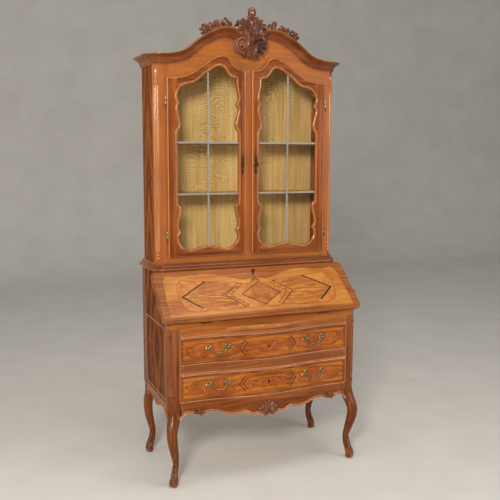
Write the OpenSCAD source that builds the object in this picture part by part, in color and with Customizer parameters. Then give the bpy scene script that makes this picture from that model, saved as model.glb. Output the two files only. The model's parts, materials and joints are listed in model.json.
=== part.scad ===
// Secretary desk: a glazed cabinet over a bureau with a sloping fall front and two bow drawers.
// Millimetres, +Z up, X across the front. The origin is at the centre of the footprint, on the floor.
// Inside the modules a depth is measured forwards from the wall plane at the back.

/* [Lower case] */
// Width of the lower case over its corner posts
case_w = 962; // [900:2:1020]
// Depth of the lower case, from the wall plane to the flat of the drawers
case_d = 468; // [440:1:500]
// Height of the underside of the lower case
leg_h = 385; // [350:1:410]
// Clear height of each drawer opening
drawer_h = 118; // [100:1:136]
// Height of the rail between the two drawers
rail_h = 56; // [44:1:64]
// Height of the bow frieze under the fall front
frieze_h = 47; // [40:1:56]
// How far the middle of the drawers swells in front of their flat ends
bow = 32; // [10:1:44]

/* [Fall front] */
// Slope of the closed fall front above the horizontal, in degrees
fall_slope = 39.2; // [37:0.1:42]
// Length of the fall front up its slope
fall_len = 302; // [280:1:310]
// Thickness of the fall front
fall_t = 24; // [20:1:26]

/* [Cabinet] */
// How far the cabinet stands in from the lower case at each side
cab_inset = 13; // [8:1:20]
// Height of each door at its hinge edge
door_h = 840; // [760:2:900]
// Thickness of a door frame
door_t = 14.5; // [12:0.5:20]
// Height of the carved crest above the flat ends of the cornice
crest_rise = 229; // [210:1:255]

/* [Handles] */
// Distance from the middle of a drawer to the middle of each handle
handle_x = 244; // [150:1:250]
// Half the distance between the two posts of a handle
post_x = 45; // [32:1:48]
// Drop of a hanging bail below its pivots
bail_drop = 28; // [22:1:34]

/* [Fits] */
// Gap round a drawer front and round a door
front_gap = 1.5; // [1:0.1:3]
// Gap between a moving face and the face it passes
slide_gap = 0.5; // [0.3:0.1:1]
// Radial gap of a pin in its bore
pin_gap = 0.1; // [0.05:0.01:0.15]

/* [Hidden] */

$fn = 48;

walnut = "#9a5524";
dark_walnut = "#6b3216";
maple = "#b8955a";
brass = "#b09058";
lead = "#a39a90";

// Heights, from the floor up.
sill_h = 17;
open_gap = 0.4;
board_t = fall_t + open_gap;
waist_h = 30;
z_lower = leg_h + sill_h;
z_rail = z_lower + drawer_h;
z_upper = z_rail + rail_h;
z_frieze = z_upper + drawer_h;
z_board = z_frieze + frieze_h;
z_desk = z_board + board_t;
pivot_d = case_d + 0.8;
cab_w = case_w - 2 * cab_inset;
fall_gap = 0.6;
z_head = z_desk + fall_len * sin(fall_slope);
z_waist = z_head + fall_t * cos(fall_slope) + 4;
z_cab = z_waist + waist_h;
door_z = z_cab + 28.5;
z_eaves = door_z + door_h + 106;

// Widths and depths of the carcases.
board = 20;
back_t = 8;
post = 60;
cant = 26;
rear_post = 50;
post_d = case_d - post;
post_in = case_w / 2 - post;
rear_in = case_w / 2 - rear_post;
side_in = case_w / 2 - board - 2;
opening_w = post_in;
head_d = pivot_d - fall_len * cos(fall_slope);
cab_d = head_d - 11.8;
cab_cant = 28;
swell = 12;
depth_over_all = case_d + bow + swell;

// Doors. Their inner edges stand this far from the middle.
door_in = 16.6;
door_out = cab_w / 2 - 59;
door_w = door_out - door_in;
door_d = cab_d + 0.8;
glass_t = 3;
rabbet = 5;
hinge_x = door_out + 5.5;
hinge_d = door_d + 10.2;
olive_r = 4.2;
escutcheon_x = 35;
escutcheon_z = door_z + door_h / 2 + 21;

// ---- helpers -------------------------------------------------------------------------------

// Puts a module drawn from the wall plane forwards into the frame of the whole object.
module from_back() {
    translate([0, depth_over_all / 2, 0]) children();
}

// Extrudes an outline of [across, forwards] points upwards between two heights.
module plan(points, z0, z1) {
    translate([0, 0, z0])
        linear_extrude(z1 - z0) polygon([for (p = points) [p[0], -p[1]]]);
}

// Extrudes an outline of [across, up] points forwards between two depths.
module front(points, d0, d1) {
    translate([0, -d0, 0])
        rotate([90, 0, 0])
            linear_extrude(d1 - d0) polygon(points);
}

// Extrudes an outline of [forwards, up] points sideways between two places across.
module side(points, x0, x1) {
    translate([x0, 0, 0])
        rotate([90, 0, 90])
            linear_extrude(x1 - x0) polygon([for (p = points) [-p[0], p[1]]]);
}

// A board between two opposite corners, each given as [across, forwards, up].
module slab(a, b) {
    translate([a[0], -b[1], a[2]]) cube([b[0] - a[0], b[1] - a[1], b[2] - a[2]]);
}

// Draws its children on the left and on the right.
module both_sides() {
    children();
    mirror([1, 0, 0]) children();
}

function blend(a, b, c, d, t) =
    0.5 * (2 * b + (c - a) * t + (2 * a - 5 * b + 4 * c - d) * t * t
        + (3 * b - a - 3 * c + d) * t * t * t);

// A smooth curve through hand-set points.
function curve(p, n = 5) = [
    for (i = [0 : len(p) - 2], j = [0 : n - 1])
        blend(p[max(i - 1, 0)], p[i], p[i + 1], p[min(i + 2, len(p) - 1)], j / n),
    p[len(p) - 1]
];

function backwards(p) = [for (i = [len(p) - 1 : -1 : 0]) p[i]];
function flipped(p) = [for (q = p) [-q[0], q[1]]];
function moved(p, x, z) = [for (q = p) [q[0] + x, q[1] + z]];

// Closed skin over a stack of rings that all have the same number of points.
module skin(rings) {
    n = len(rings[0]);
    last = len(rings) - 1;
    polyhedron(
        [for (r = rings) each r],
        concat(
            [[for (i = [0 : n - 1]) i]],
            [for (k = [0 : last - 1], i = [0 : n - 1]) let (j = (i + 1) % n)
                each [[k * n + i, (k + 1) * n + j, k * n + j],
                    [k * n + i, (k + 1) * n + i, (k + 1) * n + j]]],
            [[for (i = [n - 1 : -1 : 0]) last * n + i]]));
}

// ---- curves that several pieces share ------------------------------------------------------

// Front of the drawers, rails and apron: flat ends and a swelling middle.
bow_half = opening_w - 91;
function bow_at(x) = case_d + bow * pow(cos(90 * min(1, abs(x) / bow_half)), 2);
function bow_line(w, out) = [
    for (i = [0 : 24]) let (x = w * (1 - i / 12)) [x, bow_at(x) + out]
];
function bow_plan(w, back, out) = concat([[-w, back]], backwards(bow_line(w, out)), [[w, back]]);

// Heights of the top edge of the cornice above its flat ends, from the middle (0) to the side (1).
cornice_rise = curve([[0, 80], [0.075, 98], [0.16, 127], [0.24, 133], [0.32, 128],
    [0.406, 112], [0.513, 86], [0.598, 56], [0.667, 31], [0.752, 12], [0.855, 2], [0.94, 0],
    [1, 0]]);
function crown(x) = z_eaves + lookup(abs(x) / (cab_w / 2), cornice_rise);
function crown_slope(x) = (crown(abs(x) + 4) - crown(max(0, abs(x) - 4))) / 8;
cornice_h = 47;
// A line in the face of the cornice, given by its height within the moulding.
function cornice_line(w, up) = [
    for (i = [-32 : 32]) let (x = w * i / 32)
        [x, crown(x) - (cornice_h - up) * sqrt(1 + pow(crown_slope(x), 2))]
];

// Top edge of a door, from its inner edge (0) to its hinge edge (1), above its height there.
door_top = curve([[0, 47], [0.106, 53], [0.172, 76], [0.228, 104], [0.31, 111], [0.417, 97],
    [0.545, 63], [0.697, 23], [0.85, 4], [1, 0]]);
door_outline = concat([[door_in, door_z]],
    [for (p = door_top) [door_in + p[0] * door_w, door_z + door_h + p[1]]],
    [[door_out, door_z]]);

// Glass opening of a door. Its sides run straight between notches and lobes. The lower curves
// are measured up from the door's foot, the upper ones from its height at the hinge edge.
glass_in = door_in + 36.4;
glass_out = door_out - 48;
glass_w = glass_out - glass_in;
lobe_low = concat(curve([[16, 119], [4, 102], [4, 78], [20, 51], [48, 34], [75, 33]]),
    curve([[75, 33], [115, 43], [glass_w / 2, 50.5]]));
lobe_side = curve([[14, 244], [18, 225], [12, 200], [3, 163], [4, 138], [16, 119]]);
notch_low = curve([[0, 262], [2, 252], [14, 244]]);
notch_high = moved(curve([[0, -252], [3, -242], [13, -232]]), 0, door_h);
lobe_high = moved(curve([[13, -232], [17, -210], [8, -169], [1, -137], [13, -115]]), 0, door_h);
lobe_inner = moved(curve([[13, -115], [1, -90], [3, -66], [11, -28], [13, 8]]), 0, door_h);
lobe_outer = moved(curve([[0, -79], [2, -95], [13, -115]]), 0, door_h);
arch_inner = [for (q = curve([[0.042, 8], [0.136, 16], [0.188, 33], [0.234, 54], [0.302, 62],
    [0.373, 57], [0.477, 38], [0.558, 21], [0.662, -6], [0.744, -21], [0.834, -27],
    [0.925, -38], [0.974, -58], [1, -79]])) [q[0] * glass_w, q[1] + door_h]];
side_low = concat(notch_low, lobe_side, lobe_low);
function from_inner(p) = moved(p, glass_in, door_z);
function from_outer(p) = [for (q = p) [glass_out - q[0], q[1] + door_z]];
glass_outline = concat(
    from_inner(backwards(side_low)), from_inner(notch_high), from_inner(lobe_high),
    from_inner(lobe_inner), from_inner(arch_inner), from_outer(lobe_outer),
    from_outer(backwards(lobe_high)), from_outer(backwards(notch_high)), from_outer(side_low));
// The pane and the rabbet it lies in are a little larger than the opening all round.
lap = 12;
function pane_outline(gap) = let (foot = door_z + 33 - lap + gap, head = door_z + door_h) concat(
    [[glass_in - lap + gap, foot], [glass_in - lap + gap, head + 20 - gap]],
    [for (q = arch_inner) if (q[0] > 40) [q[0] + glass_in + 4, q[1] + door_z + lap - gap]],
    [[glass_out + lap - gap, head - 70], [glass_out + lap - gap, foot]]);

// Outline of the cabinet seen from above, grown outwards.
function cab_plan(out) = let (w = cab_w / 2 + out, turn = out * tan(22.5)) [
    [-w, 0], [-w, cab_d - cab_cant + turn], [-cab_w / 2 + cab_cant - turn, cab_d + out],
    [cab_w / 2 - cab_cant + turn, cab_d + out], [w, cab_d - cab_cant + turn], [w, 0]
];

// ---- lower case ----------------------------------------------------------------------------

// Depth of the fall front's inner face, less its clearance, at a height.
function slope_d(z) = pivot_d - fall_gap / sin(fall_slope) - (z - z_desk) / tan(fall_slope);

module case_side() {
    side([[rear_post, leg_h], [post_d, leg_h], [post_d, z_desk], [slope_d(z_desk), z_desk],
        [slope_d(z_head), z_head], [cab_d + 3, z_waist], [rear_post, z_waist]],
        side_in, side_in + board);
}

module case_side_left() {
    color(walnut) from_back() mirror([1, 0, 0]) case_side();
}

module case_side_right() {
    color(walnut) from_back() case_side();
}

module case_back() {
    color(maple) from_back()
        slab([-rear_in, back_t, leg_h], [rear_in, back_t + 12, z_waist]);
}

// A board that fills the lower case between its posts and sides, up to a depth.
function case_plan(front_d) = [
    [-rear_in, board], [rear_in, board], [rear_in, rear_post], [side_in, rear_post],
    [side_in, post_d], [post_in, post_d], [post_in, front_d], [-post_in, front_d],
    [-post_in, post_d], [-side_in, post_d], [-side_in, rear_post], [-rear_in, rear_post]
];

rail_back = case_d - 28;

module case_bottom() {
    color(maple) from_back() plan(case_plan(rail_back), leg_h, leg_h + 12);
}

module writing_board() {
    edge = case_w / 2;
    color(walnut) from_back()
        difference() {
            plan([[-rear_in, board], [rear_in, board], [rear_in, rear_post],
                [side_in, rear_post], [side_in, post_d], [edge, post_d], [edge, case_d - cant],
                [edge - cant, case_d], [-edge + cant, case_d], [-edge, case_d - cant],
                [-edge, post_d], [-side_in, post_d], [-side_in, rear_post],
                [-rear_in, rear_post]], z_board, z_desk);
            both_sides() fall_hinge_recess();
        }
}

module case_top() {
    color(maple) from_back()
        plan([[-rear_in, board], [rear_in, board], [rear_in, rear_post], [side_in, rear_post],
            [side_in, cab_d], [-side_in, cab_d], [-side_in, rear_post], [-rear_in, rear_post]],
            z_waist - board, z_waist);
}

// Legs are stacks of rounded rings. Each row gives a height, the shift of the leg's axis across
// and forwards from its foot, its half thickness and how square it is.
front_foot = [case_w / 2 - 24, case_d - 7];
front_rows = [[0, 0, 0, 11, 2], [0.02, 2, 2, 17, 2], [0.055, 5, 5, 20.5, 2],
    [0.083, 3, 3, 20, 2], [0.117, -3, -4, 14, 2], [0.156, -8, -9, 11.5, 2],
    [0.195, -12, -12, 11, 2], [0.24, -12, -12, 13, 2], [0.314, -10, -10, 16, 2],
    [0.434, -1, -1, 20.7, 2], [0.535, 7, 7, 23.3, 2.2], [0.647, 12, 12, 24, 2.5],
    [0.74, 7, 4, 26.5, 2.6], [0.831, -3, -10, 28.5, 2.6], [0.91, -6, -19, 29, 2.6],
    [1, -6, -22, 29, 2.6]];
rear_foot = [case_w / 2 - 22, 22];
rear_rows = [[0, 0, 0, 11, 2], [0.02, 2, 0, 16, 2], [0.055, 6, 0, 19, 2], [0.083, 4, 0, 19, 2],
    [0.117, -4, 0, 14, 2], [0.156, -11, 0, 12, 2], [0.195, -15, 0, 12, 2],
    [0.24, -15, 0, 13, 2], [0.314, -12, 0, 16, 2], [0.434, -2, 0, 19, 2],
    [0.535, 6, 1, 21, 2.2], [0.647, 9, 2, 22, 2.4], [0.74, 7, 2, 23, 2.6],
    [0.831, 0, 3, 24, 2.6], [0.91, -3, 3, 24.5, 2.6], [1, -3, 3, 24.5, 2.6]];

// The square post starts this far below the top of the rounded leg.
knee_lap = 12;

function squircle(angle, r, power) =
    r * pow(pow(abs(cos(angle)), power) + pow(abs(sin(angle)), power), -1 / power);

module leg(rows, foot) {
    skin([for (row = curve(rows, 2))
        [for (i = [0 : 19]) let (a = 18 * i, r = squircle(a, row[3], row[4]))
            [foot[0] + row[1] + r * cos(a), -foot[1] - row[2] + r * sin(a), row[0] * leg_h]]]);
}

module front_leg() {
    edge = case_w / 2;
    leg(front_rows, front_foot);
    plan([[post_in, post_d], [edge, post_d], [edge, case_d - cant], [edge - cant, case_d],
        [post_in, case_d]], leg_h - knee_lap, z_board);
}

module front_leg_left() {
    color(walnut) from_back() mirror([1, 0, 0]) front_leg();
}

module front_leg_right() {
    color(walnut) from_back() front_leg();
}

module rear_leg() {
    leg(rear_rows, rear_foot);
    plan([[rear_in, 0], [case_w / 2, 0], [case_w / 2, rear_post], [rear_in, rear_post]],
        leg_h - knee_lap, z_waist);
}

module rear_leg_left() {
    color(walnut) from_back() mirror([1, 0, 0]) rear_leg();
}

module rear_leg_right() {
    color(walnut) from_back() rear_leg();
}

// A wide bead runs above each drawer and a narrow one below it.
bead = 5;
bead_h = 13;
fillet = 3;
fillet_h = 6;

// Lower edge of the front apron below the case, from the middle (0) to the leg (1).
apron_edge = concat(
    curve([[0, -88], [0.052, -86], [0.095, -80], [0.124, -76], [0.178, -79], [0.235, -72],
        [0.276, -61]]),
    curve([[0.276, -61], [0.323, -67], [0.392, -70], [0.48, -65], [0.589, -50], [0.684, -45],
        [0.741, -51]]),
    curve([[0.741, -51], [0.796, -58], [0.85, -50], [0.912, -43], [0.955, -44], [1, -60]]));

module front_apron() {
    lower = [for (p = apron_edge) [p[0] * post_in, p[1] + leg_h]];
    flower_x = 0.803 * post_in;
    color(walnut) from_back() {
        intersection() {
            front(concat([[post_in, z_lower], [-post_in, z_lower]], flipped(backwards(lower)),
                [for (i = [1 : len(lower) - 1]) lower[i]]), rail_back, depth_over_all);
            plan(bow_plan(post_in, rail_back, 0), leg_h - 100, z_lower + 1);
        }
        plan(bow_plan(post_in, rail_back, fillet), z_lower - fillet_h, z_lower);
        // Carved shell in the middle and a flower at each side.
        shell_d = case_d + bow;
        front([for (i = [0 : 12]) let (a = 180 + 15 * i, r = i % 2 == 0 ? 36 : 31)
            [r * cos(a), leg_h - 50 + r * sin(a)], each [for (i = [1 : 5]) let (a = 30 * i)
            [34 * cos(a), leg_h - 50 + 42 * sin(a)]]], shell_d - 2, shell_d + 9);
        both_sides()
            translate([flower_x, -bow_at(flower_x) + 2, leg_h - 36])
                rotate([90, 0, 0]) cylinder(r = 16, h = 9);
    }
}

// Lower edge of a side apron below the case, from the rear leg (0) to the front leg (1).
side_apron_edge = curve([[0, -70], [0.04, -44], [0.13, -34], [0.28, -40], [0.433, -56],
    [0.508, -60], [0.592, -56], [0.74, -40], [0.883, -34], [0.96, -46], [1, -72]]);

module side_apron() {
    run = post_d - rear_post;
    side(concat([for (p = side_apron_edge) [rear_post + p[0] * run, leg_h + p[1]]],
        [[post_d, leg_h], [rear_post, leg_h]]), side_in + 2, side_in + board);
}

module side_apron_left() {
    color(walnut) from_back() mirror([1, 0, 0]) side_apron();
}

module side_apron_right() {
    color(walnut) from_back() side_apron();
}

module drawer_rail() {
    color(walnut) from_back() {
        plan(bow_plan(post_in, rail_back, 0), z_rail, z_upper);
        plan(bow_plan(post_in, rail_back, bead), z_rail, z_rail + bead_h);
        plan(bow_plan(post_in, rail_back, fillet), z_upper - fillet_h, z_upper);
    }
}

// The moulding under the fall front swells out only in the middle.
swell_half = bow_half / 2;
function swell_line(w) = [
    for (i = [0 : 32]) let (x = w * (1 - i / 16), s = min(1, abs(x) / swell_half))
        [x, bow_at(x) + swell * pow(cos(90 * s), 1.2)]
];

module bow_frieze() {
    color(walnut) from_back() {
        plan(bow_plan(post_in, rail_back, 0), z_frieze, z_board);
        plan(bow_plan(post_in, rail_back, bead), z_frieze, z_frieze + bead_h);
        plan(concat([[-swell_half, rail_back]], backwards(swell_line(swell_half)),
            [[swell_half, rail_back]]), z_frieze + bead_h + 7, z_board);
    }
}

// ---- drawers -------------------------------------------------------------------------------

box_back = 45;
box_wall = 12;
box_h = drawer_h - 22;
front_back = case_d - 24;
box_half = opening_w - 3;

module drawer_runners() {
    color(maple) from_back() both_sides() {
        slab([box_half - 30, rear_post, leg_h + 12], [side_in, post_d, z_lower - slide_gap]);
        slab([box_half - 30, rear_post, z_upper - 16], [side_in, post_d, z_upper - slide_gap]);
        slab([opening_w, rear_post, z_upper - 16], [side_in, post_d, z_upper + 24]);
    }
}

module drawer_front(z) {
    w = opening_w - front_gap;
    plan(bow_plan(w, front_back, -1), z + front_gap, z + drawer_h - front_gap);
}

module drawer_box(z) {
    difference() {
        slab([-box_half, box_back, z], [box_half, front_back, z + box_h]);
        slab([-box_half + box_wall, box_back + box_wall, z + 14],
            [box_half - box_wall, front_back + 1, z + box_h + 1]);
        slab([-box_half + box_wall, box_back - 1, z - 1],
            [box_half - box_wall, front_back + 1, z + 6]);
    }
}

module upper_drawer_front() {
    color(walnut) from_back() drawer_front(z_upper);
}

module lower_drawer_front() {
    color(walnut) from_back() drawer_front(z_lower);
}

module upper_drawer_box() {
    color(maple) from_back() drawer_box(z_upper);
}

module lower_drawer_box() {
    color(maple) from_back() drawer_box(z_lower);
}

// Handles stand square to the swelling front.
handle_up = 12;
pivot_out = 11;
pin_r = 1.9;
handle_tilt = atan(bow * sin(180 * handle_x / bow_half) * PI / 2 / bow_half);

module at_handle(hand, z) {
    translate([hand * handle_x, -bow_at(handle_x) + 1, z + drawer_h / 2 + handle_up])
        rotate([0, 0, hand * handle_tilt]) children();
}

// Leafy outline of one rosette, drawn by a radius that rises and falls.
rosette = [for (i = [0 : 59]) let (a = 6 * i, r = 17 + 3.5 * cos(5 * a) + 2 * cos(2 * a - 40))
    [r * cos(a), r * sin(a)]];

module handle_brasses() {
    both_sides()
        translate([post_x, 0, 0]) {
            front(rosette, -2, 3.5);
            difference() {
                rotate([90, 0, 0]) cylinder(r = 5, h = pivot_out + 4.5);
                translate([-8, -pivot_out, 0])
                    rotate([0, 90, 0]) cylinder(r = pin_r + pin_gap, h = 16);
            }
        }
}

module drawer_brasses(z) {
    difference() {
        union() {
            for (hand = [-1, 1]) at_handle(hand, z) handle_brasses();
            // Keyhole liner.
            translate([0, -bow_at(0) + 2, z + drawer_h / 2 + 10])
                rotate([90, 0, 0]) cylinder(r = 6, h = 3);
        }
        drawer_front(z);
        translate([0, -bow_at(0) + 3, z + drawer_h / 2 + 10])
            rotate([90, 0, 0]) cylinder(r = 2.5, h = 6);
    }
}

module upper_drawer_brasses() {
    color(brass) from_back() drawer_brasses(z_upper);
}

module lower_drawer_brasses() {
    color(brass) from_back() drawer_brasses(z_lower);
}

// A bail is a tube bent down between its two pins.
bail_r = 2.5;
bail_half = curve([[0, -1], [5, -0.97], [16, -0.9], [25, -0.62], [28, -0.3], [27.5, 0.02]], 3);
bail_path = concat(flipped(backwards(bail_half)), [for (i = [1 : len(bail_half) - 1]) bail_half[i]]);

module bail() {
    n = len(bail_path) - 1;
    spread = (post_x - 5 - bail_r - pin_gap - slide_gap) / 28;
    line = [for (p = bail_path) [p[0] * spread, p[1] * bail_drop]];
    skin([for (i = [0 : n])
        let (t = line[min(i + 1, n)] - line[max(i - 1, 0)], u = t / norm(t))
            [for (k = [0 : 7]) let (a = -45 * k)
                [line[i][0] - u[1] * bail_r * cos(a), bail_r * sin(a),
                    line[i][1] + u[0] * bail_r * cos(a)]]]);
    both_sides()
        translate([post_x - 9, 0, 0])
            rotate([0, 90, 0]) cylinder(r = pin_r, h = 13);
}

module hanging_bail(hand, z) {
    at_handle(hand, z) translate([0, -pivot_out, 0]) bail();
}

module upper_bail_left() {
    color(brass) from_back() hanging_bail(-1, z_upper);
}

module upper_bail_right() {
    color(brass) from_back() hanging_bail(1, z_upper);
}

module lower_bail_left() {
    color(brass) from_back() hanging_bail(-1, z_lower);
}

module lower_bail_right() {
    color(brass) from_back() hanging_bail(1, z_lower);
}

// ---- desk interior -------------------------------------------------------------------------

gallery_w = side_in - 3;
gallery_d = cab_d - 8;
gallery_wall = 6;
bay_h = 62;
bay_half = 149;
hole_z = z_desk + bay_h + gallery_wall;
gallery_top = z_waist - board - 2;
hole_pitch = (2 * gallery_w - gallery_wall) / 5;

module gallery() {
    inner_w = gallery_w - gallery_wall;
    color(maple) from_back()
        difference() {
            slab([-gallery_w, rear_post, z_desk], [gallery_w, gallery_d, gallery_top]);
            // Three drawer bays.
            slab([-bay_half, rear_post + 4, z_desk - 1], [bay_half, gallery_d + 1, z_desk + bay_h]);
            both_sides()
                slab([bay_half + gallery_wall, rear_post + 4, z_desk - 1],
                    [inner_w, gallery_d + 1, z_desk + bay_h]);
            // Five pigeonholes.
            for (i = [0 : 4])
                slab([-inner_w + i * hole_pitch, rear_post + 4, hole_z],
                    [-inner_w + (i + 1) * hole_pitch - gallery_wall, gallery_d + 1,
                        gallery_top - gallery_wall]);
        }
}

module inner_drawer(x0, x1) {
    a = x0 + 1;
    b = x1 - 1;
    back = rear_post + 6;
    color(maple) from_back() {
        difference() {
            slab([a, back, z_desk + slide_gap], [b, gallery_d, z_desk + bay_h - 1]);
            slab([a + 6, back + 6, z_desk + 6], [b - 6, gallery_d - 9, z_desk + bay_h]);
        }
        translate([(a + b) / 2, -gallery_d, z_desk + bay_h / 2])
            rotate([90, 0, 0])
                rotate_extrude()
                    polygon([[0, -1], [3, -1], [3, 4], [6, 7], [7, 10], [5, 13], [0, 14]]);
    }
}

module inner_drawer_left() {
    inner_drawer(-gallery_w + gallery_wall, -bay_half - gallery_wall);
}

module inner_drawer_middle() {
    inner_drawer(-bay_half, bay_half);
}

module inner_drawer_right() {
    inner_drawer(bay_half + gallery_wall, gallery_w - gallery_wall);
}

// ---- fall front ----------------------------------------------------------------------------

fall_hinge_x = 300;
knuckle_r = 4;
leaf_t = 2;
leaf_len = 30;
leaf_half = 26;
fall_pin_r = 1.5;

// Half of the scalloped outline, from the middle of the bottom edge up to the top edge.
fall_half = case_w / 2 + 25;
fall_edge = concat([[0, 0]],
    moved(curve([[-36, 0], [-11, 4], [0, 18], [-1, 50], [2, 88], [7, 103]]), fall_half, 0),
    moved(curve([[3, 110], [-3, 116], [-4, 150], [-1, 190], [1, fall_len - 72],
        [0, fall_len - 40], [-3, fall_len - 16], [-14, fall_len]]), fall_half, 0));

// Places children in the closed fall front: x across, y up the slope, z out of its face.
module on_fall() {
    translate([0, -pivot_d, z_desk]) rotate([fall_slope, 0, 0]) children();
}

module along_pivot(x0, x1, r) {
    translate([x0, -pivot_d, z_desk]) rotate([0, 90, 0]) cylinder(r = r, h = x1 - x0);
}

// Room in the board for a hinge: its knuckles and its leaf.
module fall_hinge_recess() {
    along_pivot(fall_hinge_x - leaf_half - 1, fall_hinge_x + leaf_half + 1, knuckle_r + slide_gap);
    slab([fall_hinge_x - leaf_half, pivot_d - leaf_len, z_desk - leaf_t],
        [fall_hinge_x + leaf_half, pivot_d, z_desk + 1]);
}

// The halves of the fall front's and the doors' hinges that stay with the case.
module fixed_hinge_halves() {
    color(brass) from_back() both_sides() {
        for (z = hinge_rows) {
            olive(z, false);
            slab([hinge_x - 1.5, cab_d, z - 20], [hinge_x + 1.5, hinge_d, z - 2]);
        }
        difference() {
            union() {
                slab([fall_hinge_x - leaf_half, pivot_d - leaf_len, z_desk - leaf_t],
                    [fall_hinge_x + leaf_half, pivot_d, z_desk]);
                along_pivot(fall_hinge_x - leaf_half, fall_hinge_x + leaf_half, knuckle_r);
            }
            along_pivot(fall_hinge_x - 10, fall_hinge_x + 10, knuckle_r + slide_gap);
            slab([fall_hinge_x - 10, pivot_d - 5, z_desk - 6],
                [fall_hinge_x + 10, pivot_d + 5, z_desk + 6]);
        }
        along_pivot(fall_hinge_x - 12, fall_hinge_x + 12, fall_pin_r);
    }
}

module fall_front() {
    color(walnut) from_back()
        difference() {
            on_fall() linear_extrude(fall_t)
                polygon(concat(fall_edge, flipped(backwards([for (i = [1 : len(fall_edge) - 1])
                    fall_edge[i]]))));
            both_sides() {
                along_pivot(fall_hinge_x - leaf_half - 1, fall_hinge_x + leaf_half + 1,
                    knuckle_r + slide_gap);
                on_fall() translate([fall_hinge_x - leaf_half, -1, -1])
                    cube([2 * leaf_half, leaf_len + 1, leaf_t + 1]);
            }
            on_fall() translate([-26, fall_len - 44, -1]) cube([52, 50, 2.5]);
            on_fall() translate([0, fall_len - 26, fall_t - 2]) cylinder(r = 6, h = 3);
        }
}

module fall_hinge_flaps() {
    color(brass) from_back() both_sides()
        difference() {
            union() {
                on_fall() translate([fall_hinge_x - leaf_half, 6, 0])
                    cube([2 * leaf_half, leaf_len - 6, leaf_t]);
                on_fall() translate([fall_hinge_x - 9.5, 0, 0]) cube([19, 8, leaf_t]);
                along_pivot(fall_hinge_x - 9.5, fall_hinge_x + 9.5, knuckle_r);
            }
            along_pivot(fall_hinge_x - 11, fall_hinge_x + 11, fall_pin_r + pin_gap);
        }
}

module fall_lock() {
    color(brass) from_back() {
        on_fall() translate([-26, fall_len - 44, 0]) cube([52, 44, 1.5]);
        on_fall() translate([0, fall_len - 26, fall_t - 2])
            difference() {
                cylinder(r = 6, h = 2.6);
                translate([0, 0, -1]) cylinder(r = 2.5, h = 5);
            }
    }
}

// ---- cabinet -------------------------------------------------------------------------------

// Each row of the waist moulding: its foot, its head and how far it stands out.
waist_rows = [[0, 6, 30], [6, 12, 26], [12, 19, 15], [19, 25, 9], [25, 30, 5]];

module waist_moulding() {
    color(dark_walnut) from_back()
        for (row = waist_rows)
            difference() {
                plan(cab_plan(row[2]), z_waist + row[0], z_waist + row[1]);
                translate([0, 1, 0]) plan(cab_plan(0), z_waist - 1, z_cab + 1);
                plan(cab_plan(0), z_waist - 1, z_cab + 1);
            }
}

module cabinet_side() {
    slab([cab_w / 2 - board, back_t, z_waist], [cab_w / 2, cab_d - cab_cant, z_eaves]);
}

module cabinet_side_left() {
    color(walnut) from_back() mirror([1, 0, 0]) cabinet_side();
}

module cabinet_side_right() {
    color(walnut) from_back() cabinet_side();
}

module cabinet_back() {
    color(maple) from_back() slab([-cab_w / 2, 0, z_waist], [cab_w / 2, back_t, z_eaves]);
}

frame_t = 22;
frame_d = cab_d - frame_t;
cab_floor = z_waist + 6 + board;

module cabinet_bottom() {
    color(maple) from_back()
        slab([-cab_w / 2 + board, back_t, cab_floor - board], [cab_w / 2 - board, frame_d, cab_floor]);
}

module cabinet_top() {
    color(maple) from_back()
        slab([-cab_w / 2 + board, back_t, z_eaves - 18], [cab_w / 2 - board, frame_d, z_eaves]);
}

overlap = 14;
stile_in = door_out - overlap;
mullion_half = door_in + overlap;

module stile() {
    w = cab_w / 2;
    plan([[stile_in, frame_d], [stile_in, cab_d], [w - cab_cant, cab_d], [w, cab_d - cab_cant],
        [w - board, cab_d - cab_cant], [w - board, frame_d]], z_waist, z_eaves);
}

module stile_left() {
    color(walnut) from_back() mirror([1, 0, 0]) stile();
}

module stile_right() {
    color(walnut) from_back() stile();
}

mullion_top = door_z + door_h + 28;

module centre_mullion() {
    color(walnut) from_back()
        slab([-mullion_half, frame_d, door_z + overlap], [mullion_half, cab_d, mullion_top]);
}

module base_rail() {
    color(walnut) from_back()
        slab([-stile_in, frame_d, z_waist], [stile_in, cab_d, door_z + overlap]);
}

// The frieze runs from just above the glass up to the cornice's top edge.
module arched_frieze() {
    lower = concat([[mullion_half, mullion_top]],
        [for (q = arch_inner) if (q[0] > 35) [q[0] + glass_in, q[1] + door_z + lap]],
        [[stile_in, door_z + door_h - 70]]);
    upper = [for (i = [-36 : 36]) let (x = stile_in * i / 36) [x, crown(x) - 1]];
    color(walnut) from_back()
        front(concat(backwards(upper), flipped(backwards(lower)), lower), frame_d, cab_d);
}

// A half-round column on each canted corner, with a turned bead near each end.
module pilasters() {
    foot = z_cab + 22;
    head = z_eaves - cornice_h - 20;
    mid_x = cab_w / 2 - cab_cant / 2;
    color(walnut) from_back() both_sides()
        difference() {
            translate([mid_x, -cab_d + cab_cant / 2, 0])
                rotate([0, 0, 45])
                    rotate_extrude()
                        polygon([[0, foot], [11, foot], [11, foot + 8], [9, foot + 12],
                            [12, foot + 20], [9, foot + 28], [9, head - 70], [12, head - 62],
                            [13, head - 40], [9, head - 20], [11, head - 8], [11, head],
                            [0, head]]);
            plan([[0, 0], [cab_w / 2 + 40, 0], [cab_w / 2 + 40, cab_d - cab_cant - 40],
                [cab_w / 2 - cab_cant - 40, cab_d + 40], [0, cab_d + 40]], foot - 1, head + 1);
        }
}

// Each row of the cornice: how high in the moulding it starts and how far it stands out.
cornice_rows = [[0, 6, 6], [6, 15, 10], [15, 25, 17], [25, 33, 25], [33, 40, 33], [40, 47, 42]];
hump_half = cab_w / 2 - cab_cant;

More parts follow.
